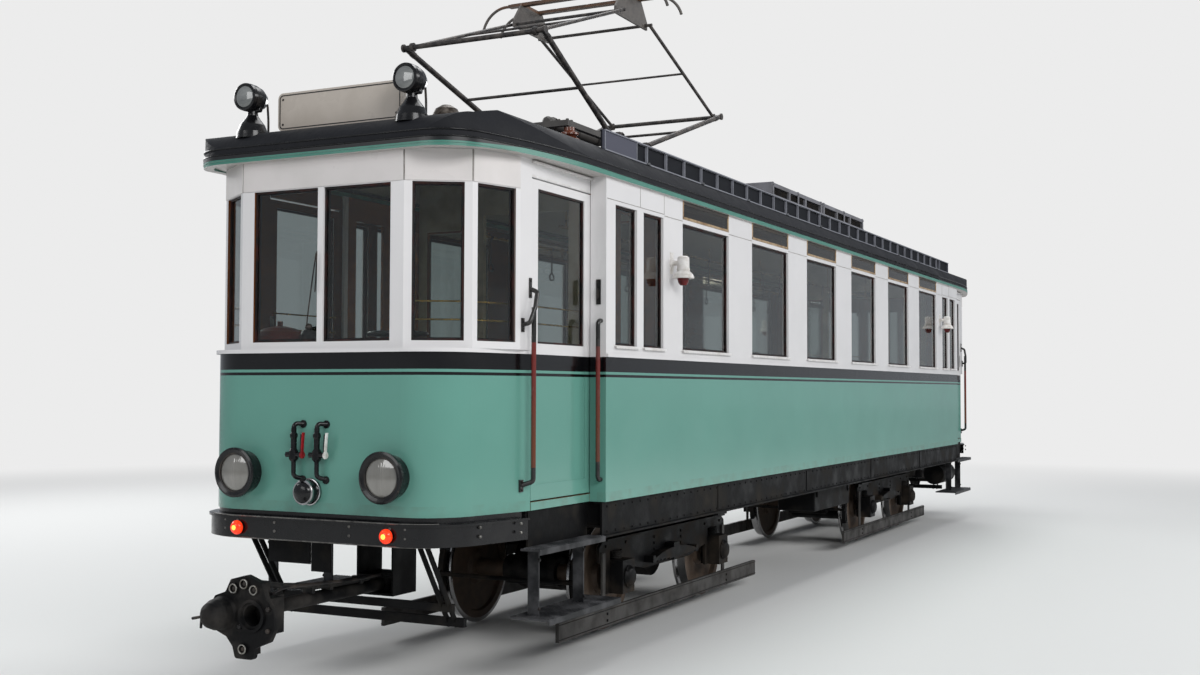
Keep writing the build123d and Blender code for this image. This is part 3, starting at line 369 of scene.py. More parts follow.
def plate(drawing, corner, other_corner, edge=1.5, turn=None):
    """A block between two corners with its edges eased, moved by a matrix where one is given."""
    low, high = zip(*(sorted(pair) for pair in zip(corner, other_corner)))
    loops = []
    for z, inset in ((low[2], edge), (low[2] + edge, 0), (high[2] - edge, 0), (high[2], edge)):
        x0, y0, x1, y1 = low[0] + inset, low[1] + inset, high[0] - inset, high[1] - inset
        corners = ((x0 + edge, y0), (x1 - edge, y0), (x1, y0 + edge), (x1, y1 - edge),
                   (x1 - edge, y1), (x0 + edge, y1), (x0, y1 - edge), (x0, y0 + edge))
        loops.append([Vector((x, y, z)) for x, y in corners])
    if turn is not None:
        loops = [[turn @ point for point in loop] for loop in loops]
    rings(drawing, loops)


def across(direction):
    """Two directions square to one another and to a given one."""
    along = Vector(direction).normalized()
    start = Vector((0, 0, 1)) if abs(along.z) < 0.9 else Vector((0, 1, 0))
    first = along.cross(start).normalized()
    return first, along.cross(first)


def lathe(drawing, profile, foot, direction, sides=20, coat=0, closed=False):
    """A turned form: profile lists distance along the direction from the foot, and radius."""
    along = Vector(direction).normalized()
    first, second = across(along)
    loops = []
    for distance, radius in profile:
        middle = Vector(foot) + along * distance
        turns = [2 * math.pi * i / sides for i in range(sides)]
        loops.append([middle + (first * math.cos(a) + second * math.sin(a)) * radius for a in turns])
    rings(drawing, loops, coat, closed)


def hoop(drawing, profile, foot, direction, sides=20):
    """A turned ring: its profile closes on itself."""
    lathe(drawing, profile, foot, direction, sides, closed=True)


def rounded(points, bend):
    """A line of points with each inner corner eased over a distance either side of it."""
    points = [Vector(point) for point in points]
    line = [points[0]]
    for before, corner, after in zip(points, points[1:], points[2:]):
        start = corner + (before - corner).normalized() * min(bend, (before - corner).length / 2)
        end = corner + (after - corner).normalized() * min(bend, (after - corner).length / 2)
        for i in range(5):
            t = i / 4
            line.append(start * (1 - t) ** 2 + corner * (2 * t * (1 - t)) + end * t ** 2)
    return line + [points[-1]]


def pipe(drawing, points, radius, bend=0, sides=10, coat=0, flat=1):
    """A round bar along a line of points; flat squeezes it across into a strip."""
    line = rounded(points, bend) if bend else [Vector(point) for point in points]
    first, second = across(line[1] - line[0])
    loops = []
    for i, middle in enumerate(line):
        before = (middle - line[i - 1]).normalized() if i else (line[1] - middle).normalized()
        after = (line[i + 1] - middle).normalized() if i + 1 < len(line) else before
        along = (before + after).normalized()
        first = (first - along * first.dot(along)).normalized()
        second = along.cross(first)
        flat_second = second * flat
        turns = [2 * math.pi * k / sides for k in range(sides)]
        loops.append([middle + (first * math.cos(a) + flat_second * math.sin(a)) * radius for a in turns])
    rings(drawing, loops, coat)


def surround(drawing, place, width, height, bar, low, high):
    """A mitred frame just inside an opening, its depth from low to high along the place's Y."""
    loops = []
    half_w, half_h = width / 2, height / 2
    for y, inset in ((low, 0), (low, bar), (high, bar), (high, 0)):
        w, h = half_w - inset, half_h - inset
        loops.append([place @ Vector(p) for p in ((-w, y, -h), (w, y, -h), (w, y, h), (-w, y, h))])
    rings(drawing, loops, closed=True)


def mirror_copy(drawing, axis):
    """Add the mirror image of a drawing: axis 0 for the other end, 1 for the other side."""
    geometry = drawing.verts[:] + drawing.edges[:] + drawing.faces[:]
    copy = bmesh.ops.duplicate(drawing, geom=geometry)
    for part in copy["geom"]:
        if isinstance(part, bmesh.types.BMVert):
            part.co[axis] *= -1


ahead, outward, upward = (-1, 0, 0), (0, -1, 0), (0, 0, 1)


def drawings(count):
    """Empty drawings, one for each piece that a section makes."""
    return [bmesh.new() for _ in range(count)]


def finish_piece(name, drawing, slot, *materials, body="car_body", mirror=""):
    """Turn a drawing in millimetres over the rail top into a piece in metres, corners crisp, on
    a body of the car. It is mirrored first to the other side (Y), the other end (X) or both."""
    for axis in mirror:
        mirror_copy(drawing, "XY".index(axis))
    crease = math.radians(38)
    to_metres = Matrix.Translation((0, 0, rail_top)) @ Matrix.Scale(0.001, 4)
    bmesh.ops.transform(drawing, matrix=to_metres, verts=drawing.verts)
    bmesh.ops.recalc_face_normals(drawing, faces=drawing.faces)
    for face in drawing.faces:
        face.smooth = True
    for edge in drawing.edges:
        edge.smooth = edge.calc_face_angle(0) < crease
    mesh = bpy.data.meshes.new(name)
    drawing.to_mesh(mesh)
    drawing.free()
    for material in materials:
        mesh.materials.append(material)
    piece = bpy.data.objects.new(name, mesh)
    scene.collection.objects.link(piece)
    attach(piece, body)
    return piece


def old_coat(name, fresh, worn, rough=(0.3, 0.6), metal=0, scale=12, relief_depth=0.001):
    """A finish that wanders between two colours and between two roughnesses, slightly uneven."""
    material, tree, shader = blank_material(name)
    wander = grain(tree, scale, 8)
    share = spread(tree, wander, 0.42, 0.72)
    fill(shader, {
        "Base Color": mixed(tree, share, linear(*fresh), linear(*worn)),
        "Roughness": spread(tree, wander, 0.3, 0.7, *rough),
        "Normal": relief(tree, grain(tree, scale * 9, 6), 0.3, relief_depth),
        "Specular IOR Level": 0.3, "Metallic": metal,
    })
    return material


gasket_black = old_coat("gasket_black", (22, 19, 19), (64, 30, 26), (0.45, 0.75))
sill_white = old_coat("sill_white", (220, 218, 217), (200, 196, 192), (0.25, 0.45))
# The fascia boards' white is greyer than the sills' and posts': painted shade from the roof's overhang
fascia_white_painted_shade = old_coat("fascia_white_painted_shade", (212, 207, 205), (201, 197, 194), (0.25, 0.4), scale=3)
seam_grey = old_coat("seam_grey", (150, 146, 142), (112, 106, 100), (0.5, 0.8))
brass = old_coat("brass", (186, 150, 82), (118, 92, 50), (0.22, 0.45), 1)

window_centres = [1400 * (i - 2.5) for i in range(6)]
narrow_centres = [end * x for end in (-1, 1) for x in (4859, 4437)]
side_windows = [(x, 890) for x in window_centres] + [(x, 320) for x in narrow_centres]
side_face = -1100
sill_z, head_z = 1960, 2850
pane_y = -1073

frames = bmesh.new()
sills = bmesh.new()
for x, width in side_windows:
    place = Matrix.Translation((x, 0, (sill_z + head_z) / 2))
    surround(frames, place, width, head_z - sill_z, 13, pane_y - 9, pane_y)
    surround(frames, place, width, head_z - sill_z, 20, pane_y + 6, pane_y + 22)
    # The drip sill: a ledge and its lip, cut in small scallops
    half = width / 2 + 16
    plate(sills, (x - half, side_face - 17, sill_z - 8), (x + half, side_face + 3, sill_z + 1), 2)
    lobes = round(2 * half / 42)
    lip = []
    for i in range(lobes * 4 + 1):
        drop = 5 + 7 * math.sin(math.pi * (i % 4) / 4)
        lip.append((x - half + 2 * half * i / (lobes * 4), sill_z - 8 - drop))
    for (x0, z0), (x1, z1) in zip(lip, lip[1:]):
        ledge_z = sill_z - 3
        rings(sills, [((x0, y, ledge_z), (x0, y, z0), (x1, y, z1), (x1, y, ledge_z))
                      for y in (side_face - 18, side_face - 14)])
finish_piece("side_window_frames", frames, "black_paint", gasket_black, mirror="Y")
finish_piece("drip_sills", sills, "cream_paint", sill_white, mirror="Y")

# The hopper lights over the big panes are closed: oak frames flush with the sheets, of 20 mm
# rails, and smoked panes. Over each, a dark strip up to the cornice is painted shade, standing in for the
# shadow of a recess.
vent_frames, vent_panes, vent_shade_strips = drawings(3)
vent_foot, vent_head, cornice_foot = 2880, 2985, 3011
flush = side_face - 1.5
for x in window_centres:
    plate(vent_frames, (x - 444, flush, vent_foot + 0.5), (x + 444, -1076, vent_foot + 20), 1.5)
    plate(vent_frames, (x - 440, -1104, vent_foot + 2), (x + 440, -1100, vent_foot + 9), 1)
    for way in (-1, 1):
        x0, x1 = x + way * 425, x + way * 444
        plate(vent_frames, (x0, flush, vent_foot + 0.5), (x1, -1076, vent_head - 0.5), 1.5)
        plate(vent_frames, (x0, -1102.5, vent_head - 1), (x1, -1099, cornice_foot), 0.5)
    plate(vent_panes, (x - 427, -1097, vent_foot + 18), (x + 427, -1093, vent_head - 0.5), 0.5)
    # A dark strip of painted shade from the vent's top up to the cornice
    plate(vent_shade_strips, (x - 426, flush, vent_head - 1), (x + 426, -1099, cornice_foot), 0.5)
pale_oak = old_coat("pale_oak", (172, 148, 116), (122, 92, 62), (0.25, 0.5), scale=14)
# The strips' dark brown-grey is painted shade, not a finish of the wall
painted_shade_head = old_coat("painted_shade_head", (50, 46, 42), (66, 58, 50), (0.3, 0.5), scale=5)
smoked_glass, tree, shader = blank_material("smoked_glass")
fill(shader, {"Base Color": linear(126, 118, 106), "Roughness": 0.03, **clear})
hopper = finish_piece("vent_frames", vent_frames, "varnished_wood", pale_oak, mirror="Y")
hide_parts("window_vents")
finish_piece("vent_panes", vent_panes, "glass", smoked_glass, mirror="Y")
finish_piece("vent_shade_strips", vent_shade_strips, "black_paint", painted_shade_head, mirror="Y")

# The sheets above the windows meet on lapped joints: one long seam over the panes, and short
# upright ones between the windows, filled and painted over.
seams = bmesh.new()
seam_z = 2866
edges = sorted([x - w / 2 for x, w in side_windows[:6]] + [x + w / 2 for x, w in side_windows[:6]])
starts = [-4260] + edges[1::2]
ends = edges[0::2] + [4260]
for x0, x1 in zip(starts, ends):
    plate(seams, (x0, side_face - 1.6, seam_z - 2), (x1, side_face + 2, seam_z + 2), 0.5)
for end in (-1, 1):
    plate(seams, (end * 4262, side_face - 1.6, 2874), (end * 5140, side_face + 2, 2878), 0.5)
    for x in (end * 4265, end * 4650):
        plate(seams, (x - 2, side_face - 1.6, 2876), (x + 2, side_face + 2, 3002), 0.5)
finish_piece("side_seams", seams, "cream_paint", seam_grey, mirror="Y")

# The ends' window bands are built of flat frames that meet at the corners under a white fascia.
# Each pane has a black frame, an inner bead and, behind the corner ones, two brass bars.
end_facets = (
    # Where each flat facet starts and ends in plan, its pane's width and the pane's shift along it
    ((-6014, -985), (-6355, -880), 285, 0),
    ((-6355, -880), (-6562, -567), 285, 0),
    ((-6562, -567), (-6562, 0), 459, 34),
)
end_pane_low, end_pane_high = 1949, 2821
guard_bar_heights = (2168, 2067)
end_frames = bmesh.new()
guard_bars = bmesh.new()
fascia, fascia_joints = drawings(2)
fascia_foot, fascia_head = 2825, 3004
for start, end, width, shift in end_facets:
    start, end = Vector((*start, 0)), Vector((*end, 0))
    along = (end - start).normalized()
    inward = Vector((-along.y, along.x, 0))
    if inward.x < 0:
        inward = -inward
    middle = (start + end) / 2 + along * shift
    place = Matrix((along, inward, Vector((0, 0, 1)))).transposed().to_4x4()
    place = Matrix.Translation(middle + Vector((0, 0, (end_pane_low + end_pane_high) / 2))) @ place
    height = end_pane_high - end_pane_low
    surround(end_frames, place, width, height, 11, 13, 22)
    surround(end_frames, place, width, height, 18, 28, 44)
    if shift == 0:
        reach = along * (width / 2 + 6)
        for z in guard_bar_heights:
            level = middle + inward * 60 + Vector((0, 0, z))
            pipe(guard_bars, [level - reach, level + reach], 5, sides=8)
            for foot in (level - reach * 0.96, level + reach * 0.96):
                lathe(guard_bars, ((0, 9), (8, 9), (10, 6)), foot - inward * 12, inward, 10)
        # The fascia over the corner panes: a flat board on each facet, and a filled joint at its end
        lift, board_height = Vector((0, 0, fascia_foot)), fascia_head - fascia_foot
        square = place.to_3x3().to_4x4()
        turn = Matrix.Translation(start + lift) @ square
        plate(fascia, (4, -5, 0), ((end - start).length - 4, 1, board_height), 1.5, turn)
        turn = Matrix.Translation(end + lift) @ square
        plate(fascia_joints, (-3, -1, 0), (3, 3, board_height), 0.4, turn)
for drawing in (end_frames, guard_bars, fascia, fascia_joints):
    mirror_copy(drawing, 1)
plate(fascia, (-6567, -562, fascia_foot), (-6561, 562, fascia_head), 1.5)
finish_piece("end_window_frames", end_frames, "black_paint", gasket_black, mirror="X")
finish_piece("window_guard_bars", guard_bars, "steel_tube", brass, mirror="X")
finish_piece("fascia_boards", fascia, "cream_paint", fascia_white_painted_shade, mirror="X")
finish_piece("fascia_joints", fascia_joints, "cream_paint", seam_grey, mirror="X")

# Each sliding door has one tall pane in a dark frame, two brass guard bars behind it, a kick
# plate at its foot, flat hand plates and a bent grip inside. All of it slides with the door.
door_front, door_back = -5886, -5105
door_pane_front, door_pane_back = -5811, -5225
door_y, door_inner_y = -985, -945
worn_steel = old_coat("worn_steel", (148, 147, 144), (96, 92, 88), (0.3, 0.55), 0.9)
for end, flip_x in (("front", 1), ("rear", -1)):
    for side, flip_y in (("left", 1), ("right", -1)):
        frame_bars, pane, fittings, grips = drawings(4)
        middle = ((door_pane_front + door_pane_back) / 2, 0, (end_pane_low + head_z) / 2)
        place = Matrix.Translation(middle)
        width, height = door_pane_back - door_pane_front, head_z - end_pane_low
        surround(frame_bars, place, width, height, 12, door_y + 8, door_y + 16)
        surround(frame_bars, place, width, height, 12, door_y + 24, door_y + 32)
        plate(pane, (door_pane_front + 1, door_y + 17, end_pane_low + 1),
              (door_pane_back - 1, door_y + 23, head_z - 1), 0.5)
        for z in guard_bar_heights:
            bar = [(x, door_inner_y + 8, z) for x in (door_pane_front - 20, door_pane_back + 20)]
            pipe(fittings, bar, 5)
            for x in (door_pane_front - 14, door_pane_back + 14):
                lathe(fittings, ((0, 11), (6, 11), (9, 6)), (x, door_inner_y, z), (0, 1, 0), 12)
        plate(fittings, (door_front + 30, door_inner_y, 1060),
              (door_back - 30, door_inner_y + 2, 1170), 0.6)
        # Hand plates inside and out and the inner grip, clear of the pocket's walls
        x, y, z = door_front + 38, door_inner_y, 2075
        plate(grips, (x - 20, y, z - 75), (x + 20, y + 2, z + 75), 0.6)
        bent = [(x, y, z - 55), (x, y + 9, z - 55), (x, y + 9, z + 55), (x, y, z + 55)]
        pipe(grips, bent, 4.5, 8)
        plate(grips, (x - 20, door_y - 2, z - 75), (x + 20, door_y, z + 75), 0.6)
        door = "door_%s_%s" % (end, side)
        for name, drawing, slot, coat in (("_frame", frame_bars, "black_paint", gasket_black),
                                          ("_pane", pane, "glass", pane_glass),
                                          ("_bars", fittings, "steel_tube", brass),
                                          ("_grips", grips, "steel_tube", worn_steel)):
            bmesh.ops.scale(drawing, vec=(flip_x, flip_y, 1), verts=drawing.verts)
            finish_piece(door + name, drawing, slot, coat, body=door)

# The header over each door carries a white rain strip and a batten, and a latch plate with its
# boss and a small bent lever is screwed to the jamb behind it.
headers, latches = drawings(2)
plate(headers, (-5892, -1012, 2990), (-5142, -986, 3002), 2)
plate(headers, (-5888, -990, 2912), (-5152, -986, 2922), 1)
latch_x, latch_y, latch_z = -5152, -1043, 2290
plate(latches, (latch_x - 6, latch_y - 22, latch_z - 78), (latch_x, latch_y + 10, latch_z + 78), 1.5)
lathe(latches, ((0, 11), (5, 11), (7, 7)), (latch_x - 6, latch_y - 6, latch_z + 8), ahead, 14)
pipe(latches, [(latch_x - 8, latch_y - 6, latch_z - 40), (latch_x - 20, latch_y - 8, latch_z - 34),
               (latch_x - 22, latch_y - 8, latch_z + 22)], 5, 8)
iron_black = old_coat("iron_black", (24, 23, 24), (70, 62, 56), (0.3, 0.6))
finish_piece("door_headers", headers, "cream_paint", sill_white, mirror="YX")
finish_piece("jamb_latches", latches, "black_paint", iron_black, mirror="YX")

# The headlamps are black drums with a rolled rim. Each holds a domed lens of pressed glass,
# fluted upright, in a thin ring that three screws hold.
apron_face = -6580
lamp_y, lamp_z = 508, 1206
lens_radius, lens_edge, lens_rise = 106.5, 84, 17
flute_height, flute_pitch, flute_fade = 1.3, 15, 12
lenses, lens_rings = drawings(2)
for y in (-lamp_y, lamp_y):
    loops = []
    for step in range(15):
        share = step / 14
        radius = (lens_radius - 0.5) * (1 - share) + 0.5
        dome = lens_edge + lens_rise * (1 - (radius / lens_radius) ** 2)
        height = flute_height * min(1, (lens_radius - radius) / flute_fade)
        loop = []
        for i in range(72):
            turn = 2 * math.pi * i / 72
            dy, dz = radius * math.cos(turn), radius * math.sin(turn)
            flute = height * math.cos(2 * math.pi * dy / flute_pitch)
            loop.append(Vector((apron_face - dome - flute, y + dy, lamp_z + dz)))
        loops.append(loop)
    rings(lenses, [[point + Vector((14, 0, 0)) for point in loops[0]]] + loops)
    rim = ((84, 112), (93, 113), (95, 109), (93, 104), (84, 104))
    hoop(lens_rings, rim, (apron_face, y, lamp_z), ahead, 48)
    for turn in (90, 210, 330):
        a = math.radians(turn)
        foot = (apron_face - 96, y + 136 * math.cos(a), lamp_z + 136 * math.sin(a))
        lathe(lens_rings, ((-2, 6), (2, 6), (4, 3)), foot, ahead, 8)
# The lens is opaque: its grey, streaked paler upright, is painted reflection of the reflector behind the
# glass and painted sheen along the flutes
lamp_glass, tree, shader = blank_material("lamp_glass")
painted_reflection_grey = mixed(tree, grain(tree, 9, 3, (1, 1, 0.25)), linear(66, 65, 60), linear(146, 143, 136))
fill(shader, {"Base Color": painted_reflection_grey, "Roughness": 0.1, "Specular IOR Level": 0.9,
              "Coat Weight": 1, "Coat Roughness": 0.03})
gloss_black, tree, shader = blank_material("gloss_black")
fleck = grain(tree, 14, 7)
fill(shader, {
    "Base Color": mixed(tree, fleck, linear(6, 6, 8), linear(20, 20, 22)),
    "Roughness": spread(tree, fleck, 0.35, 0.7, 0.14, 0.4),
    "Specular IOR Level": 0.3, "Coat Weight": 0.2,
})
finish_piece("headlamp_lenses", lenses, "glass", lamp_glass, mirror="X")
finish_piece("headlamp_rings", lens_rings, "black_paint", iron_black, mirror="X")
give("headlamps", gloss_black)
give("end_fittings", gloss_black)

# The tail lamps burn red: a small ruby glass bulges out of each black case, with a bright bulb
# behind its middle.


def lit_glass(name, scale, dark, pale, strength, rough):
    """Glass that glows from within, mottled between two colours."""
    material, tree, shader = blank_material(name)
    glow = mixed(tree, grain(tree, scale, 2), linear(*dark), linear(*pale))
    fill(shader, {"Base Color": glow, "Emission Color": glow, "Emission Strength": strength,
                  "Roughness": rough})
    return material


tail_glass = lit_glass("tail_glass", 60, (200, 24, 8), (255, 70, 26), 0.9, 0.12)
bulb_glow = lit_glass("bulb_glow", 80, (255, 150, 40), (255, 214, 96), 1.6, 0.2)
tails = bmesh.new()
tail_y, tail_z = 518, 891
for y in (-tail_y, tail_y):
    foot = (apron_face - 35, y, tail_z)
    lathe(tails, ((10, 37), (14, 40), (24, 40), (36, 33), (43, 21), (46, 13)), foot, ahead, 32)
    lathe(tails, ((45, 15), (47, 13), (49, 8)), foot, ahead, 20, 1)
finish_piece("tail_lenses", tails, "glass", tail_glass, bulb_glow, mirror="X")

# The jumper socket between the headlamps has steel rings and a domed black lid on a hinge, and
# the two air cocks over it have flat levers, one red and one white, and hexagon caps.
socket_rims, lids = drawings(2)
socket = (apron_face, 33, 1108)
hoop(socket_rims, ((8, 76), (16, 76), (18, 73), (18, 67), (8, 67)), socket, ahead, 40)
hoop(socket_rims, ((60, 70), (72, 70), (76, 66), (76, 58), (60, 58)), socket, ahead, 40)
lathe(lids, ((70, 60), (82, 56), (92, 44), (98, 28), (100, 8)), socket, ahead, 32)
plate(lids, (-6664, 18, 1168), (-6640, 48, 1184), 2)
levers = bmesh.new()
for coat, y in ((0, 121), (1, -41)):
    lever = [(-6633, y - 66, 1298), (-6636, y - 68, 1330),
             (-6640, y - 76, 1400), (-6640, y - 80, 1440)]
    pipe(levers, lever, 13, 12, coat=coat, flat=0.35)
    lathe(levers, ((0, 21), (8, 21), (13, 15)), (-6625, y - 56, 1315), outward, 18, coat)
    lathe(lids, ((0, 17), (12, 17), (15, 11)), (-6625, y + 38, 1315), (0, 1, 0), 6)
lever_red = old_coat("lever_red", (150, 22, 30), (96, 20, 22), (0.3, 0.5), scale=30)
lever_white = old_coat("lever_white", (226, 226, 222), (176, 170, 160), (0.3, 0.5), scale=30)
bright_steel = old_coat("bright_steel", (196, 196, 198), (140, 138, 136), (0.12, 0.3), 1)
finish_piece("socket_rims", socket_rims, "wheel_steel", bright_steel, mirror="X")
finish_piece("socket_lids", lids, "black_paint", gloss_black, mirror="X")
finish_piece("cock_levers", levers, "black_paint", lever_red, lever_white, mirror="X")

# One wiper swings over the inner edges of the front panes. Its motor sits behind the sill, and
# the flat arm carries a thin rubber blade, parked along the middle post.
wipers = bmesh.new()
wiper_arm = [(-6588, 71, 2032), (-6592, 54, 2140), (-6590, 26, 2330), (-6588, 8, 2446)]
wiper_blade = [(-6584, 6, 2456), (-6582, 11, 2340), (-6583, 17, 2228)]
lathe(wipers, ((-4, 20), (8, 20), (14, 13), (24, 9), (28, 4)), (-6566, 71, 2032), ahead, 16)
pipe(wipers, wiper_arm, 5, 20, 8, flat=0.5)
pipe(wipers, wiper_blade, 5, 12, 8, flat=0.6)
finish_piece("wipers", wipers, "black_paint", iron_black, mirror="X")

# The canvas of the roof was laid in cross strips, lapped and tacked under narrow seams. Two thin
# beads of black iron run round the roof's edge on the green moulding.
seams = bmesh.new()
arch_radius, arch_centre_z = 3661, -301
for x in (-4300, -2650, 2760, 4300):
    loops = []
    for i in range(25):
        y = -940 + 1880 * i / 24
        z = arch_centre_z + math.sqrt(arch_radius ** 2 - y ** 2)
        loops.append([(x + dx, y, z + dz) for dx, dz in ((-22, -2), (-14, 3), (14, 3), (22, -2))])
    rings(seams, loops)
gutters = bmesh.new()


def roof_edge(out):
    """The roof's plan, moved outwards, from the near side round to the middle of the front."""
    line = [(-4000, -1125 - out), (-5300, -1125 - out)]
    shoulder = ((-5300, -1125), (-5900, -1080), (-6400, -975))
    corner = ((-6400, -975), (-6562, -872), (-6620, -700))
    for a, b, c in (shoulder, corner):
        # The circle through three points, walked from the first to the last
        ax, ay, bx, by, cx, cy = (*a, *b, *c)
        twice = 2 * (ax * (by - cy) + bx * (cy - ay) + cx * (ay - by))
        aa, bb, cc = ax * ax + ay * ay, bx * bx + by * by, cx * cx + cy * cy
        mx = (aa * (by - cy) + bb * (cy - ay) + cc * (ay - by)) / twice
        my = (aa * (cx - bx) + bb * (ax - cx) + cc * (bx - ax)) / twice
        radius = math.hypot(ax - mx, ay - my) + out
        first, last = math.atan2(ay - my, ax - mx), math.atan2(cy - my, cx - mx)
        if last > first:
            last -= 2 * math.pi
        line += [(mx + radius * math.cos(first + (last - first) * i / 8),
                  my + radius * math.sin(first + (last - first) * i / 8)) for i in range(1, 9)]
    return line + [(-6620 - out, 0)]


for out, z, radius in ((-3, 3046, 4), (-6, 3084, 4.5)):
    bead = [(x, y, z) for x, y in roof_edge(out)]
    pipe(gutters, [(4000, bead[0][1], z)] + bead[1:], radius)
# A green cove under the front of the cornice, that dies away behind the corners
coves = bmesh.new()
loops = []
for (x, y), (inner_x, inner_y) in zip(roof_edge(-4)[2:], roof_edge(-62)[2:]):
    foot = cornice_foot - 18 * min(1, max(0.05, (abs(x) - 6200) / 300))
    head = cornice_foot + 1
    loops.append(((x, y, head), (x, y, foot), (inner_x, inner_y, foot), (inner_x, inner_y, head)))
rings(coves, loops)
finish_piece("cornice_coves", coves, "green_paint", cornice_green, mirror="YX")
tar_seam = old_coat("tar_seam", (16, 17, 20), (46, 47, 52), (0.3, 0.6))
finish_piece("roof_seams", seams, "black_paint", tar_seam)
finish_piece("roof_gutters", gutters, "black_paint", gloss_black, mirror="YX")

# Dark edge boards stand along both sides of the roof, held outside by a ladder of grey painted
# flat iron that is bolted through the canvas on small feet. A sheet covers the first bay.
rail_grey = old_coat("rail_grey", (92, 94, 98), (58, 58, 60), (0.4, 0.7), scale=9)
edge_board, tree, shader = blank_material("edge_board")
from_side = measure(tree, "Object", "Y", True)
iron_share = spread(tree, from_side, 1.0005, 1.001)
weather = grain(tree, 9, 8, (0.4, 1, 1))
board_tone = mixed(tree, weather, linear(10, 12, 17), linear(30, 32, 38))
iron_tone = mixed(tree, weather, linear(150, 152, 160), linear(112, 113, 120))
first_bay = spread(tree, measure(tree, "Object", "X", True), 4.525, 4.527)
behind_bars = spread(tree, from_side, 1.018, 1.0185, 1, 0)
sheet_share = new_node(tree, "Math", {0: first_bay, 1: behind_bars}, operation="MULTIPLY")
outside = mixed(tree, sheet_share, iron_tone, linear(82, 83, 94))
board_and_iron = mixed(tree, iron_share, board_tone, outside)
fill(shader, {"Base Color": board_and_iron, "Roughness": 0.6, "Specular IOR Level": 0.12})
give("roof_rails", edge_board)
rail_feet = bmesh.new()
for i in range(0, 28, 3):
    x = -4360 + i * 8720 / 27
    plate(rail_feet, (x - 26, -1032, 3204), (x + 26, -978, 3216), 2)
    for y in (-1024, -988):
        lathe(rail_feet, ((0, 9), (6, 9), (8, 6)), (x + 14, y, 3215), upward, 6)
finish_piece("roof_rail_feet", rail_feet, "black_paint", rail_grey, mirror="Y")

# The starting resistors are grids of cast iron in two grey sheet cases whose sides are open in
# bays, on cross bearers. Bolted straps hold each lid, and conduits feed the cable box.
box_grey = old_coat("box_grey", (128, 128, 134), (100, 99, 101), (0.45, 0.75), scale=2.5)
give("resistor_boxes", box_grey)
grids, straps = drawings(2)
for x0, x1 in ((-760, 780), (820, 2340)):
    bay = (x1 - x0 - 40) / 3
    for side in (-1, 1):
        for z in (3412, 3512):
            for i in range(3):
                start = x0 + 40 + i * bay
                plate(grids, (start + 1, side * 594, z + 1), (start + bay - 41, side * 604, z + 71), 1)
                for k in range(13):
                    x = start + 16 + k * (bay - 72) / 12
                    plate(grids, (x - 4, side * 600, z + 6), (x + 4, side * 622, z + 66), 1)
    for x in (x0 + 30, (x0 + x1) / 2, x1 - 30):
        plate(straps, (x - 18, -646, 3616), (x + 18, 646, 3625), 2)
        for side in (-1, 1):
            plate(straps, (x - 18, side * 640, 3390), (x + 18, side * 646, 3620), 1.5)
            for z in (3400, 3500, 3602):
                lathe(straps, ((0, 10), (7, 10), (9, 7)), (x, side * 645, z), (0, side, 0), 6)
for y in (-180, 180):
    conduit = [(-1900, y, 3440), (-2080, y, 3440), (-2160, y, 3412), (-2290, y, 3400)]
    pipe(straps, conduit, 17, 60, 12)
for x in (-1840, -1400, -900):
    plate(straps, (x - 14, -305, 3496), (x + 14, 305, 3504), 1.5)
grid_dark = old_coat("grid_dark", (20, 19, 19), (52, 44, 38), (0.5, 0.8), scale=30)
finish_piece("resistor_grids", grids, "black_paint", grid_dark)
finish_piece("resistor_straps", straps, "black_paint", box_grey)

# The destination board over the front windows is blank: a flat case with round corners, cream
# enamelled on its face with a thin black line round the edge, and screwed at the corners.
board_black = old_coat("board_black", (24, 24, 26), (60, 56, 52), (0.3, 0.6))
cream_enamel = old_coat("cream_enamel", (188, 179, 169), (170, 160, 149), (0.22, 0.45), scale=3)
give("destination_boards", cream_enamel)
board_lines, board_screws = drawings(2)
board_z = 3312


def rounded_oblong(half_y, half_z, radius, x):
    """Points round the board's oblong with its round corners, in a plane across the car."""
    points = []
    for corner, (sy, sz) in enumerate(((1, 1), (-1, 1), (-1, -1), (1, -1))):
        for step in range(7):
            a = math.radians(90 * corner + 15 * step)
            points.append(Vector((x, sy * (half_y - radius) + radius * math.cos(a),
                                  board_z + sz * (half_z - radius) + radius * math.sin(a))))
    return points


outer, inner = (430, 101, 25), (424, 95, 20)
line_face, line_back = -6411.6, -6409
rings(board_lines, [rounded_oblong(*edge, x) for edge, x in (
    (outer, line_face), (inner, line_face), (inner, line_back), (outer, line_back))], closed=True)
for y in (-405, 405):
    for z in (3238, 3386):
        lathe(board_screws, ((-1, 7), (2, 7), (4, 4)), (-6410, y, z), ahead, 10)
for y in (-300, 300):
    plate(board_screws, (-6368, y - 26, 3196), (-6362, y + 26, 3300), 1.5)
finish_piece("destination_lines", board_lines, "black_paint", board_black, mirror="X")
finish_piece("destination_screws", board_screws, "black_paint", board_black, mirror="X")

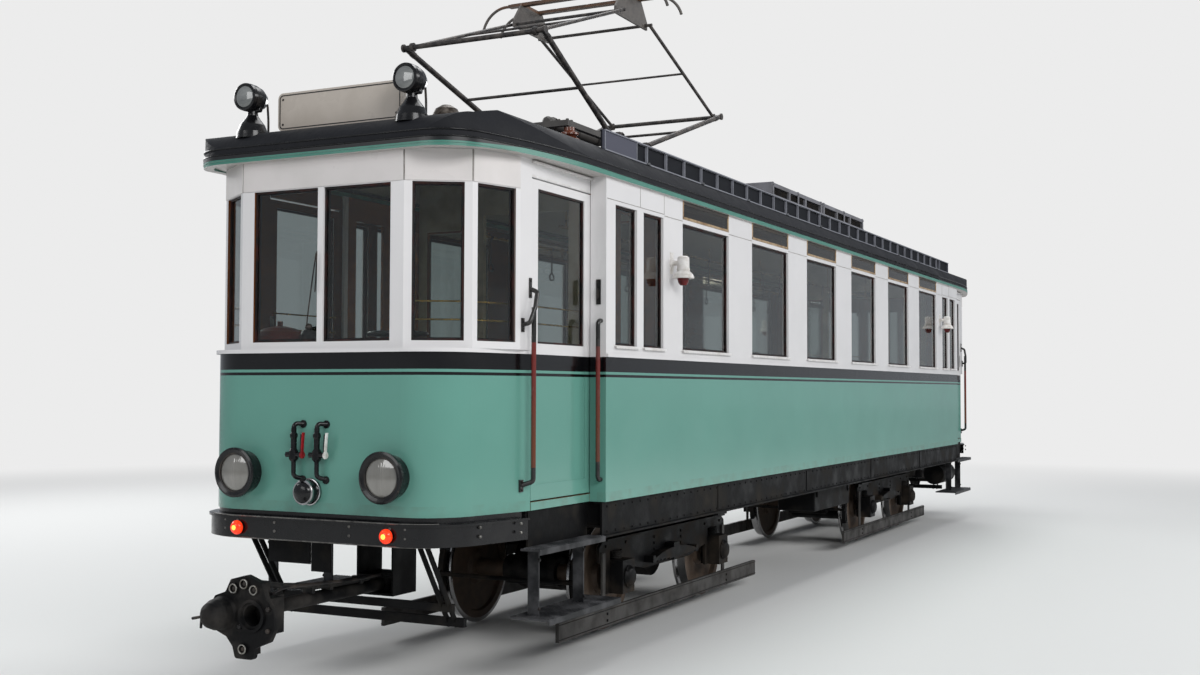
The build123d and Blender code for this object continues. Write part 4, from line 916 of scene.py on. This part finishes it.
# Two round spot lamps stand over the front corners: spun black bodies with a clouded glass in a
# rolled rim, a knuckle under each and a bent conduit down into the roof. The bell is cast bronze.
give("roof_lamps", gloss_black)
spot_glass, spot_rims, spot_conduits = drawings(3)
for y in (-565, 565):
    mouth = (-6560, y, 3391)
    lathe(spot_glass, ((-2, 64), (4, 61), (9, 46), (12, 24), (13, 4)), mouth, ahead, 32)
    hoop(spot_rims, ((-12, 82), (4, 80), (8, 74), (4, 64), (-2, 64), (-6, 70)), mouth, ahead, 32)
    lathe(spot_rims, ((0, 16), (40, 16), (44, 11)), (-6490, y - 20, 3322), outward, 10)
    conduit = [(-6384, y, 3391), (-6362, y, 3388), (-6352, y, 3300), (-6350, y, 3180)]
    pipe(spot_conduits, conduit, 7, 30, 8)
spot_grey, tree, shader = blank_material("spot_glass")
dim = mixed(tree, grain(tree, 26, 3, (1, 0.3, 1)), linear(70, 72, 72), linear(150, 152, 150))
fill(shader, {"Base Color": dim, "Roughness": 0.08, "Coat Weight": 1})
finish_piece("spot_lenses", spot_glass, "glass", spot_grey, mirror="X")
finish_piece("spot_rims", spot_rims, "black_paint", gloss_black, mirror="X")
finish_piece("spot_conduits", spot_conduits, "black_paint", iron_black, mirror="X")
bell_bronze = old_coat("bell_bronze", (58, 50, 44), (120, 112, 104), (0.25, 0.5), 0.6, 30)
give("bells", bell_bronze)

# The pantograph stands on a frame of channel iron with four brown porcelain insulators under its
# corners. Bolted caps hold the shafts, and two spring barrels at the front pull it up.
pantograph_iron, tree, shader = blank_material("pantograph_iron")
iron_tone = mixed(tree, grain(tree, 12, 8), linear(44, 42, 42), linear(88, 84, 80))
clay_tone = mixed(tree, grain(tree, 8, 3), linear(86, 44, 30), linear(120, 68, 48))
clay_top = 3.494
fill(shader, {
    "Base Color": by_height(tree, ((clay_top, clay_tone), (6, iron_tone))),
    "Roughness": by_height(tree, ((clay_top, linear(110, 110, 110)), (6, linear(190, 190, 190)))),
})
give("pantograph_base", pantograph_iron)
panto_x, panto_z, pivot = -3400, 3560, 240
panto_frame_top = 3540
caps = bmesh.new()
for end in (-1, 1):
    for side in (-1, 1):
        x, y = panto_x + end * pivot, side * 460
        cap_face = (x, y + side * 18, panto_z)
        hoop(caps, ((0, 40), (5, 40), (8, 34), (8, 30), (0, 30)), cap_face, (0, side, 0), 24)
        for turn in (45, 135, 225, 315):
            a = math.radians(turn)
            foot = (x + 33 * math.cos(a), y + side * 18, panto_z + 33 * math.sin(a))
            lathe(caps, ((0, 6), (9, 6), (11, 4)), foot, (0, side, 0), 6)
        for x in (panto_x + end * 1040 - 30, panto_x + end * 1040 + 30):
            lathe(caps, ((0, 11), (12, 11), (14, 7)), (x, y, panto_frame_top), upward, 6)
    for y in (-400, 0, 400):
        foot = (panto_x + end * 1080, y, panto_frame_top)
        lathe(caps, ((0, 10), (10, 10), (13, 6)), foot, upward, 6)
for side in (-1, 1):
    y = side * 300
    for x in (-4400, -4080, -3760):
        barrel_ring = ((0, 46), (0, 50), (26, 50), (26, 46))
        hoop(caps, barrel_ring, (x, y, panto_frame_top), (1, 0, 0), 28)
    pipe(caps, [(-3700, y, 3540), (-3664, y, 3548), (-3650, y + side * 20, 3560)], 9, 12)
pantograph_steel = old_coat("pantograph_steel", (56, 54, 54), (98, 92, 88), (0.35, 0.6), 0.3, 18)
finish_piece("pantograph_caps", caps, "black_paint", pantograph_steel)

# The arms are drawn steel tube, painted dark. The lower ones taper to a knee with a pin and
# split collars, and the slim upper ones carry the head.
for node in ("lower_arm_front", "lower_arm_rear", "upper_arm_front", "upper_arm_rear"):
    give(node, pantograph_steel)
arm, rest_angle = 1412, math.radians(19.9)
for end, way in (("front", -1), ("rear", 1)):
    foot = Vector((panto_x + way * pivot, 0, panto_z))
    knee = foot + Vector((way * arm * math.cos(rest_angle), 0, arm * math.sin(rest_angle)))
    collars = bmesh.new()
    for side in (-1, 1):
        for pin, y, inner, outer, length in ((knee, 552, 17, 28, 14), (foot, 392, 24, 33, 18)):
            collar = ((0, inner), (0, outer), (length, outer), (length, inner))
            hoop(collars, collar, (pin.x, side * y, pin.z), (0, side, 0))
        along = (knee - foot).normalized()
        for share, radius in ((0.06, 24), (0.94, 23)):
            y = side * (400 + 145 * share)
            line = Vector((along.x, side * 145 / arm, along.z))
            lathe(collars, ((-16, 20), (-16, radius), (16, radius), (16, 20)),
                  foot + along * arm * share + Vector((0, y, 0)), line, 20, closed=True)
    finish_piece("arm_collars_" + end, collars, "black_paint", pantograph_steel, body="lower_arm_" + end)

# The head carries two strips of carbon in copper channels, with horns of bent tube at the sides
# that keep a wire from dropping off.
strips_z = panto_z + 2 * arm * math.sin(rest_angle) + 190
head_finish, tree, shader = blank_material("head_finish")
tube_tone = mixed(tree, grain(tree, 20, 6), linear(58, 56, 56), linear(104, 98, 92))
strip_grain = grain(tree, 60, 6, (1, 0.2, 1))
strip_tone = mixed(tree, strip_grain, linear(34, 33, 34), linear(120, 84, 58))
head_bands = (((strips_z - 24) / 1000, tube_tone), (6, strip_tone))
fill(shader, {"Base Color": by_height(tree, head_bands), "Roughness": 0.45})
give("collector_head", head_finish)
carbons = bmesh.new()
for end in (-1, 1):
    x = panto_x + end * 130
    for i in range(4):
        y = -540 + i * 272
        plate(carbons, (x - 17, y, strips_z - 2), (x + 17, y + 264, strips_z + 5), 1.5)
    for y in (-438, 438):
        lathe(carbons, ((0, 9), (16, 9), (18, 6)), (x, y, strips_z - 22), (0, 0, -1), 6)
carbon_grey = old_coat("carbon_grey", (30, 30, 32), (72, 68, 64), (0.3, 0.6), 0.2, 50)
finish_piece("carbon_strips", carbons, "black_paint", carbon_grey, body="collector_head")

# The hand rails by the doors are steel pipe, red where they are held and black at the brackets,
# with the red worn to brown by hands in the lower part of each.
rail_finish, tree, shader = blank_material("rail_finish")
rub = grain(tree, 16, 6, (1, 1, 0.3))
fade = spread(tree, measure(tree, "Object", "Z", True), 1.45, 1.8)
held = mixed(tree, fade, linear(116, 64, 38), linear(128, 42, 40))
rail_red = mixed(tree, rub, held, linear(78, 40, 32))
rail_black = mixed(tree, rub, linear(22, 22, 24), linear(48, 46, 44))
rail_bands = by_height(tree, ((1.24, rail_black), (1.95, rail_red), (6, rail_black)))
off_the_wall = spread(tree, measure(tree, "Object", "Y", True), 1.018, 1.019)
fill(shader, {
    "Base Color": mixed(tree, off_the_wall, rail_black, rail_bands),
    "Roughness": spread(tree, rub, 0.3, 0.7, 0.12, 0.35),
})
give("handrails", rail_finish)
rail_bolts = bmesh.new()
for x, y, z in ((-5990, -993, 2020), (-5990, -993, 2078), (-5907, -994, 2222),
                (-5907, -994, 2306), (-5967, -976, 1112), (-5967, -976, 1160)):
    lathe(rail_bolts, ((-2, 7), (4, 7), (6, 4)), (x, y, z), outward, 6)
finish_piece("rail_bolts", rail_bolts, "black_paint", iron_black, mirror="YX")

# A small white lamp with a flared shade hangs from a bracket on each side behind the door, on a
# flat back plate. Its dark red glass shows under the shade.
lamp_white = old_coat("lamp_white", (222, 219, 216), (184, 178, 170), (0.25, 0.5), scale=20)
give("side_lamps", lamp_white)
lamp_reds, lamp_plates = drawings(2)
lamp_foot = (-4140, -1188, 2400)
lathe(lamp_reds, ((-5, 8), (-2, 22), (17, 36), (46, 42), (46, 30)), lamp_foot, upward, 24)
plate(lamp_plates, (-4166, -1104, 2478), (-4114, -1099, 2626), 1.2)
for z in (2490, 2614):
    lathe(lamp_plates, ((0, 5), (3, 5), (4, 3)), (-4140, -1103.5, z), outward, 8)
lathe(lamp_plates, ((100, 45), (104, 46), (110, 46), (114, 45)), lamp_foot, upward, 24)
finish_piece("side_lamp_plates", lamp_plates, "cream_paint", lamp_white, mirror="YX")
dark_red = old_coat("dark_red_glass", (96, 22, 24), (60, 16, 18), (0.08, 0.25), scale=30)
finish_piece("side_lamp_glasses", lamp_reds, "glass", dark_red, mirror="YX")

# The bumper is a pressed steel beam in gloss black. Pale strips along its upper and lower edges
# are painted highlights, and pairs of rivets with pale heads, worn and with painted glints, hold it to
# the brackets behind.
give("bumpers", gloss_black)
ledge_highlights, bumper_rivets = drawings(2)


def apron_line(offset, start_y, end_y, count):
    """Points along the apron's plan, moved outwards: over the flat front and round the corner."""
    front, corner_y, radius = offset - apron_face, 812 + offset, 310 + offset
    line = []
    for i in range(count + 1):
        y = start_y + (end_y - start_y) * i / count
        side = 1 if y >= 0 else -1
        flat_end = corner_y - radius * 0.87
        reach = min(1, max(0, (abs(y) - flat_end) / radius))
        line.append((-front + radius * (1 - math.sqrt(1 - reach ** 2)), side * abs(y)))
    return line


# Pale round strips along both edges of the ledge: painted highlights
for z, radius in ((959, 4), (834, 4)):
    edge = apron_line(46 if z > 900 else 34, -790, 790, 48)
    pipe(ledge_highlights, [(x, y, z) for x, y in edge], radius, 0, 6)
for y in (-624, -529, -260, 260, 529, 624):
    x = apron_line(35, y, y + 1, 1)[0][0]
    for z in (880, 930):
        lathe(bumper_rivets, ((-3, 10), (3, 9), (6, 5)), (x, y, z), ahead, 8)
for x, y in ((-6330, -926), (-6040, -1014)):
    for z in (882, 932):
        for side in (-1, 1):
            off_corner = (-0.29, side * 0.96, 0)
            lathe(bumper_rivets, ((-6, 10), (4, 9), (7, 5)), (x, -side * y, z), off_corner, 8)
# Pale steel for the edge strips and rivet heads: painted highlight on the strips, wear and painted glints
# on the heads
worn_and_highlight = old_coat("worn_and_highlight", (120, 118, 114), (52, 50, 50), (0.2, 0.5), 0.6, 16)
finish_piece("bumper_edge_highlights", ledge_highlights, "black_paint", worn_and_highlight, mirror="X")
finish_piece("bumper_rivets", bumper_rivets, "black_paint", worn_and_highlight, mirror="X")

# The steps are ribbed plates on bent flat hangers, grey from boots. Ribs run along the treads
# and three bolts show on each hanger.
step_grey = old_coat("step_grey", (34, 35, 37), (84, 84, 86), (0.35, 0.65), 0.3, 9)
give("steps", step_grey)
ribs_on, step_bolts = drawings(2)
for i in range(6):
    y = -1088 + i * 20
    plate(ribs_on, (-5970, y - 4, 781), (-5155, y + 4, 786), 1.2)
for i in range(11):
    y = -1098 + i * 23
    plate(ribs_on, (-5875, y - 4, 378), (-4955, y + 4, 383), 1.2)
for x in (-5794, -5234):
    for z in (420, 700, 748):
        lathe(step_bolts, ((0, 11), (8, 11), (10, 7)), (x, -990, z), outward, 6)
finish_piece("step_ribs", ribs_on, "grey_paint", step_grey, mirror="YX")
finish_piece("step_bolts", step_bolts, "black_paint", iron_black, mirror="YX")

# A green sill strip closes the floor's edge under each door, and the girder along the side is
# plated and riveted: two rows of heads, and butt straps at the joints.
sill_strips, girder_rivets, girder_straps = drawings(3)
plate(sill_strips, (-5888, -990, 990), (-5152, -985.5, 1037), 1)
for i in range(84):
    x = -5080 + i * 122.4
    for z in (803, 957):
        lathe(girder_rivets, ((-1, 9), (3, 8), (6, 4)), (x, -1075, z), outward, 6)
for x in (-3180, -1060, 1060, 3180):
    plate(girder_straps, (x - 45, -1081, 792), (x + 45, -1074, 972), 1.5)
finish_piece("door_sill_strips", sill_strips, "green_paint", door_enamel, mirror="YX")
finish_piece("girder_rivets", girder_rivets, "underframe_steel", frame_black, mirror="Y")
finish_piece("girder_straps", girder_straps, "underframe_steel", frame_black, mirror="Y")

# The saloon floor is oak boards laid along the car, with hardwood battens screwed down in the
# aisle for grip. The platforms have both too. From below the boards are dark with brake dust.
boards_finish, tree, shader = blank_material("floor_boards")
board_grain = grain(tree, 9, 8, (0.12, 1, 1))
board_tone = mixed(tree, board_grain, linear(84, 62, 40), linear(132, 102, 66))
below = spread(tree, measure(tree, "Normal", "Z"), -0.2, -0.5)
board_faces = mixed(tree, below, board_tone, linear(46, 42, 38))
fill(shader, {"Base Color": board_faces, "Roughness": 0.62})
give("floor", boards_finish)
battens = bmesh.new()
lines = [(y, -4150, 4150) for y in range(-130, 531, 44)]
for end in (-1, 1):
    lines += [(y, end * 4300, end * (6350 if abs(y) < 620 else 5950)) for y in range(-870, 871, 60)]
for y, x0, x1 in lines:
    plate(battens, (x0, y - 13, 1037), (x1, y + 13, 1043), 1.5)
finish_piece("floor_battens", battens, "floor_wood", boards_finish)

# Benches are varnished slats on cast stands, back to back at the window posts. The slats are
# rounded ash, screwed through, and a bent brass grab stands on each pair's back by the aisle.
varnish, tree, shader = blank_material("varnish")
dark_ash, pale_ash = linear(96, 52, 26), linear(158, 96, 48)
slat_wood = mixed(tree, grain(tree, 12, 8, (1, 0.15, 1)), dark_ash, pale_ash)
fill(shader, {"Base Color": slat_wood, "Roughness": 0.28, "Coat Weight": 0.4})
for node in ("seats", "window_vents"):
    give(node, varnish)
# The pockets' panels are varnished too, while the jambs at the doors wear the body's enamel
pocket_finish, tree, shader = blank_material("pocket_finish")
jamb_share = spread(tree, measure(tree, "Object", "X", True), 5.1085, 5.1095)
pocket_wood = mixed(tree, grain(tree, 12, 8, (0.15, 1, 1)), dark_ash, pale_ash)
pocket_coat = mixed(tree, jamb_share, pocket_wood, by_height(tree, side_bands))
fill(shader, {"Base Color": pocket_coat, "Roughness": 0.26})
give("pocket_linings", pocket_finish)
slats, grabs = drawings(2)
seat_z, back_z = 1468, 1988
benches = [(i * 1400, (-1, 1)) for i in (-2, -1, 0, 1, 2)]
benches += [(end * 4160, (-end,)) for end in (-1, 1)]
for y0, y1 in ((-1030, -150), (570, 1030)):
    for x, faces in benches:
        for way in faces:
            for i in range(7):
                share = i / 6
                middle = x + way * (70 + 360 * share)
                z = seat_z + 4 + 20 * share
                plate(slats, (middle - 24, y0 + 3, z - 6), (middle + 24, y1 - 3, z + 10), 3)
            for i in range(6):
                z = seat_z + 90 + i * 68
                out = 45 - 23 * (z + 24 - seat_z + 28) / (back_z - seat_z + 28)
                front, back = x + way * (out + 9), x + way * (out - 6)
                plate(slats, (front, y0 + 3, z - 24), (back, y1 - 3, z + 24), 3)
        aisle = y1 - 40 if y0 < 0 else y0 + 40
        grab = [(x, aisle - 60, back_z - 10), (x, aisle - 50, back_z + 60),
                (x, aisle + 50, back_z + 60), (x, aisle + 60, back_z - 10)]
        if abs(x) < 4000:
            pipe(grabs, grab, 9, 30, 10)
finish_piece("bench_slats", slats, "varnished_wood", varnish)
finish_piece("bench_grabs", grabs, "steel_tube", brass)

# The partitions are painted cream over panelling and glazed on each side of their doorway. Small
# panes lean inside the closed hopper lights, where the CAD model's open frames hold them.
partition_cream = old_coat("partition_cream", (196, 186, 160), (168, 156, 128), (0.3, 0.5), scale=6)
give("partitions", partition_cream)
small_panes, pane_beads = drawings(2)
for end in (-1, 1):
    x = end * 4230
    for side in (-1, 1):
        plate(small_panes, (x - 2.5, side * 428, 1958), (x + 2.5, side * 842, 2852), 0.5)
        place = Matrix.Translation((x, side * 635, 2405)) @ Matrix.Rotation(math.pi / 2, 4, "Z")
        surround(pane_beads, place, 410, 890, 16, -14, -4)
        surround(pane_beads, place, 410, 890, 16, 4, 14)
for x in window_centres:
    for side in (-1, 1):
        lean = Matrix.Rotation(math.radians(25 * side), 4, "X")
        turn = Matrix.Translation((x, side * 1070, 2886)) @ lean
        plate(small_panes, (-425, -2, 16), (425, 2, 80), 0.5, turn)
finish_piece("small_panes", small_panes, "glass", pane_glass)
finish_piece("partition_beads", pane_beads, "varnished_wood", varnish)

# Opal globes hang from the ceiling in brass cups along the middle, and rigid hand grips from a
# rail of brass tube on each side of the aisle: a flat iron, and a triangle of dark brown rod.
globes, cups, grip_rails, hand_grips = drawings(4)
ceiling_z, grip_rail_z = 3290, 2860
for x in (-3500, -2100, -700, 700, 2100, 3500):
    slopes = [math.pi * i / 10 for i in range(11)]
    globe = [(18 + 62 * (1 - math.cos(a)), max(4, 62 * math.sin(a))) for a in slopes]
    lathe(globes, globe, (x, 0, ceiling_z), (0, 0, -1), 20)
    lathe(cups, ((-20, 40), (6, 44), (26, 36), (26, 30)), (x, 0, ceiling_z), (0, 0, -1), 20)
for y in (-200, 620):
    pipe(grip_rails, [(-4100, y, grip_rail_z), (4100, y, grip_rail_z)], 12)
    for x in (-4000, -2400, -800, 800, 2400, 4000):
        pipe(grip_rails, [(x, y, grip_rail_z), (x, y, 3200)], 9, sides=8)
    for i in range(16):
        x = -3700 + i * 490
        sleeve = ((-12, 13), (-12, 18), (12, 18), (12, 13))
        hoop(hand_grips, sleeve, (x, y, grip_rail_z), (1, 0, 0), 14)
        plate(hand_grips, (x - 11, y - 3, 2648), (x + 11, y + 3, 2846), 1)
        triangle = ((-34, 2638), (0, 2660), (34, 2638), (30, 2600), (-30, 2600), (-34, 2638))
        pipe(hand_grips, [(x + dx, y, z) for dx, z in triangle], 7, 14, 8)
opal = old_coat("opal_glass", (226, 222, 210), (206, 200, 184), (0.15, 0.3), scale=8)
grip_brown = old_coat("grip_brown", (64, 38, 26), (40, 26, 20), (0.25, 0.5), scale=30)
finish_piece("ceiling_globes", globes, "glass", opal)
finish_piece("globe_cups", cups, "steel_tube", brass)
finish_piece("grip_rails", grip_rails, "steel_tube", brass)
finish_piece("hand_grips", hand_grips, "varnished_wood", grip_brown)

# Each cab has a cast controller under a red-brown domed cover, a brake valve with a brass handle
# and a brake wheel on a column, worn bright by hands.
case_tone, tree, shader = blank_material("case_tone")
wear = grain(tree, 10, 8)
cover_red = mixed(tree, wear, linear(140, 52, 32), linear(104, 42, 28))
case_black = mixed(tree, wear, linear(26, 28, 30), linear(62, 60, 56))
case_bands = by_height(tree, ((1.966, case_black), (6, cover_red)))
at_cover = spread(tree, measure(tree, "Object", "Y"), 0.37, 0.371)
fill(shader, {"Base Color": mixed(tree, at_cover, case_black, case_bands), "Roughness": 0.35})
give("driver_stands", case_tone)
trims, knobs = drawings(2)
hoop(trims, ((0, 141), (12, 141), (12, 137), (0, 137)), (-6270, 524, 1900), upward, 32)
lathe(trims, ((-90, 13), (-88, 15), (-4, 15), (0, 12)), (-6180, 277, 2138), upward, 14)
lathe(trims, ((0, 34), (6, 34), (10, 24)), (-6270, -330, 2022), upward, 20)
lathe(knobs, ((0, 13), (10, 20), (26, 20), (34, 8)), (-6180, 277, 2134), upward, 16)
finish_piece("cab_trims", trims, "steel_tube", brass, mirror="X")
finish_piece("cab_knobs", knobs, "varnished_wood", varnish, mirror="X")

# Wheels are rolled steel discs pressed on forged axles. The treads and the inner edges of the
# flanges run bright, while the discs and axles are brown with brake dust and oil.
wheel_finish, tree, shader = blank_material("wheel_finish")
squares = []
for axis in ("X", "Z"):
    share = measure(tree, "Generated", axis)
    off = new_node(tree, "Math", {0: share, 1: 0.5}, operation="SUBTRACT")
    squares.append(new_node(tree, "Math", {0: off, 1: off}, operation="MULTIPLY"))
total = new_node(tree, "Math", {0: squares[0], 1: squares[1]}, operation="ADD")
# The tread lies at 376 to 382 mm of the 405 mm that the flange reaches
tread = spread(tree, total, (374 / 810) ** 2, (375.5 / 810) ** 2)
dust = grain(tree, 14, 8)
dusty = mixed(tree, dust, linear(44, 36, 30), linear(92, 74, 58))
bright = mixed(tree, dust, linear(176, 176, 178), linear(138, 136, 134))
fill(shader, {
    "Base Color": mixed(tree, tread, dusty, bright), "Metallic": tread,
    "Roughness": spread(tree, tread, 0, 1, 0.7, 0.22),
    "Normal": relief(tree, grain(tree, 50, 6), 0.25, 0.002),
})
for i in (1, 2, 3, 4):
    give("wheelset_%d" % i, wheel_finish)

# The bogies have plate frames with forged axle boxes, coil springs over them, leaf springs at
# the middle, brake shoes hung on links at each wheel and boards that keep people off the rails.
board_dark = old_coat("board_dark", (64, 62, 60), (38, 35, 33), (0.45, 0.75), scale=7)
bogie_x, axle_reach, axle_z = 3180, 900, 382
hanger_reach, hanger_y, hanger_foot = 432, 534, 372
for end, way in (("front", -1), ("rear", 1)):
    middle = way * bogie_x
    give("guard_boards_" + end, board_dark)
    covers, coils, shoes, bolts = drawings(4)
    for side in (-1, 1):
        for away in (-1, 1):
            x = middle + away * axle_reach
            cover = ((0, 78), (8, 78), (14, 70), (24, 66), (34, 52), (38, 20))
            lathe(covers, cover, (x, side * 750, axle_z), (0, side, 0), 24)
            for turn in (45, 135, 225, 315):
                a = math.radians(turn)
                foot = (x + 72 * math.cos(a), side * 757, axle_z + 72 * math.sin(a))
                lathe(bolts, ((0, 9), (8, 9), (10, 6)), foot, (0, side, 0), 6)
            for z in (510, 524, 538, 552):
                coil = ((-5, 40), (-5, 49), (0, 52), (5, 49), (5, 40))
                hoop(coils, coil, (x, side * 640, z), upward, 18)
            # A brake shoe on the wheel's side away from the middle, hung on a link from the frame
            loops = []
            for i in range(7):
                a = math.radians(-22 + 44 * i / 6)
                reach, rise = away * math.cos(a), math.sin(a)
                loops.append([(x + radius * reach, side * y, axle_z - 2 + radius * rise)
                              for radius, y in ((387, 512), (425, 512), (425, 556), (387, 556))])
            rings(shoes, loops)
            foot_x = x + away * hanger_reach
            hanger = [(foot_x, side * hanger_y, hanger_foot), (foot_x - away * 190, side * hanger_y, 640)]
            pipe(shoes, hanger, 13, sides=8)
        # Rows of bolts on the frame plate and the guard board: along, up, how far out, and the head
        for places, heights, out, head in (
            ((-250, 250), (500, 545, 590), 650, ((-1, 11), (7, 11), (9, 7))),
            ((-1060, -740, 740, 1060), (600,), 650, ((-1, 11), (7, 11), (9, 7))),
            ((-1115, 1115), (105, 150), 690, ((-1, 10), (6, 10), (8, 6))),
        ):
            for dx in places:
                for z in heights:
                    lathe(bolts, head, (middle + dx, side * out, z), (0, side, 0), 6)
        for z in (80, 176):
            strip = [(middle - 1812, side * 691, z), (middle + 1812, side * 691, z)]
            pipe(bolts, strip, 3, sides=6)
    for away in (-1, 1):
        beam_x = middle + away * (axle_reach + hanger_reach)
        pipe(shoes, [(beam_x, -556, hanger_foot), (beam_x, 556, hanger_foot)], 15, sides=8)
    for name, drawing in (("axle_box_covers_", covers), ("axle_box_springs_", coils),
                          ("brake_gear_", shoes), ("bogie_bolts_", bolts)):
        coat = cast_black if drawing is coils else bogie_black
        finish_piece(name + end, drawing, "underframe_steel", coat, body="bogie_" + end)

# Under the floor run a brake pipe, two cable conduits and the long brake pull rod, all clipped
# to the cross members, and small junction boxes hang beside the middle of the car.
pipes, boxes = drawings(2)
brake_line = ((-5900, 900), (-4400, 900), (-4200, 815), (4200, 815), (4400, 900), (5900, 900))
pipe(pipes, [(x, 360, z) for x, z in brake_line], 16, 60)
for y in (-420, -500):
    pipe(pipes, [(-2000, y, 808), (2000, y, 808)], 20)
pipe(pipes, [(-2000, 40, 806), (2000, 40, 806)], 12, sides=8)
for x in (-2100, -700, 700, 2100):
    for y in (-500, -420, 360):
        plate(pipes, (x - 16, y - 30, 812), (x + 16, y + 30, 831), 1.5)
finish_piece("underfloor_pipes", pipes, "underframe_steel", frame_black)
for x0, x1, y0, y1 in ((-560, 560, -980, -620), (-420, 480, 600, 980)):
    plate(boxes, (x0, y0, 560), (x1, y1, 760), 8)
    plate(boxes, (x0 - 8, y0 - 8, 742), (x1 + 8, y1 + 8, 756), 3)
    for x in (x0 + 60, x1 - 60):
        for y in (y0 + 25, y1 - 25):
            plate(boxes, (x - 20, y - 5, 755), (x + 20, y + 5, 832), 1.5)
        for y in (y0 - 8, y1 + 8):
            plate(boxes, (x - 14, y - 6, 690), (x + 14, y + 6, 748), 2)
finish_piece("underfloor_boxes", boxes, "underframe_steel", frame_black)

# The couplers are castings with bright rubbed rings round their air ports, a handle that crosses
# under the horn, a release rod along the drawbar and two steel air pipes clamped on it.
port_rings, handles, air_pipes = drawings(3)
face_x, axis_z = -7205, 520
for y, z in ((18, 133), (-52, 160), (-116, 133), (-46, -172)):
    port = (face_x, y, axis_z + z)
    hoop(port_rings, ((12, 27), (17, 25), (18, 22), (16, 19), (10, 19)), port, ahead, 24)
    lathe(handles, ((-2, 12), (8, 12), (11, 8)), port, ahead, 16)
pipe(handles, [(-7160, 150, 505), (-7235, 195, 500), (-7250, 262, 486)], 8, 24, 8)
pipe(handles, [(-7248, 200, 496), (-7250, 202, 440)], 7, 0, 8)
for y, z in ((-205, 40), (-205, -70), (150, 30), (140, -60), (-20, -60)):
    lathe(handles, ((-2, 13), (9, 13), (12, 9)), (face_x, y, axis_z + z), ahead, 6)
pipe(handles, [(-7120, -150, 625), (-7000, -130, 640), (-6300, -90, 596), (-6060, -70, 592)], 9, 50, 8)
for y, z0 in ((-60, 650), (10, 640)):
    air_line = [(-7118, y, z0), (-7020, y, z0 + 6), (-6900, y * 0.6, 628),
                (-6500, y * 0.4, 578), (-6120, y * 0.4, 574)]
    pipe(air_pipes, air_line, 15, 70, 12)
    lathe(port_rings, ((0, 20), (26, 20), (26, 16)), (-7118, y, z0), (1, 0, 0), 14)
for x in (-6640, -6480, -6200):
    plate(air_pipes, (x - 14, -44, 554), (x + 14, 26, 598), 3)
pipe_black = old_coat("pipe_black", (26, 26, 26), (58, 54, 50), (0.5, 0.8), scale=20)
ring_steel = old_coat("ring_steel", (168, 166, 160), (104, 98, 90), (0.2, 0.45), 0.8, 26)
for end, far in (("front", 1), ("rear", -1)):
    for name, drawing, coat in (("rings", port_rings, ring_steel), ("handles", handles, iron_black),
                                ("air_pipes", air_pipes, pipe_black)):
        copy = drawing.copy()
        bmesh.ops.scale(copy, vec=(far, 1, 1), verts=copy.verts)
        finish_piece("coupler_%s_%s" % (name, end), copy, "cast_iron", coat, body="coupler_" + end)
for drawing in (port_rings, handles, air_pipes):
    drawing.free()
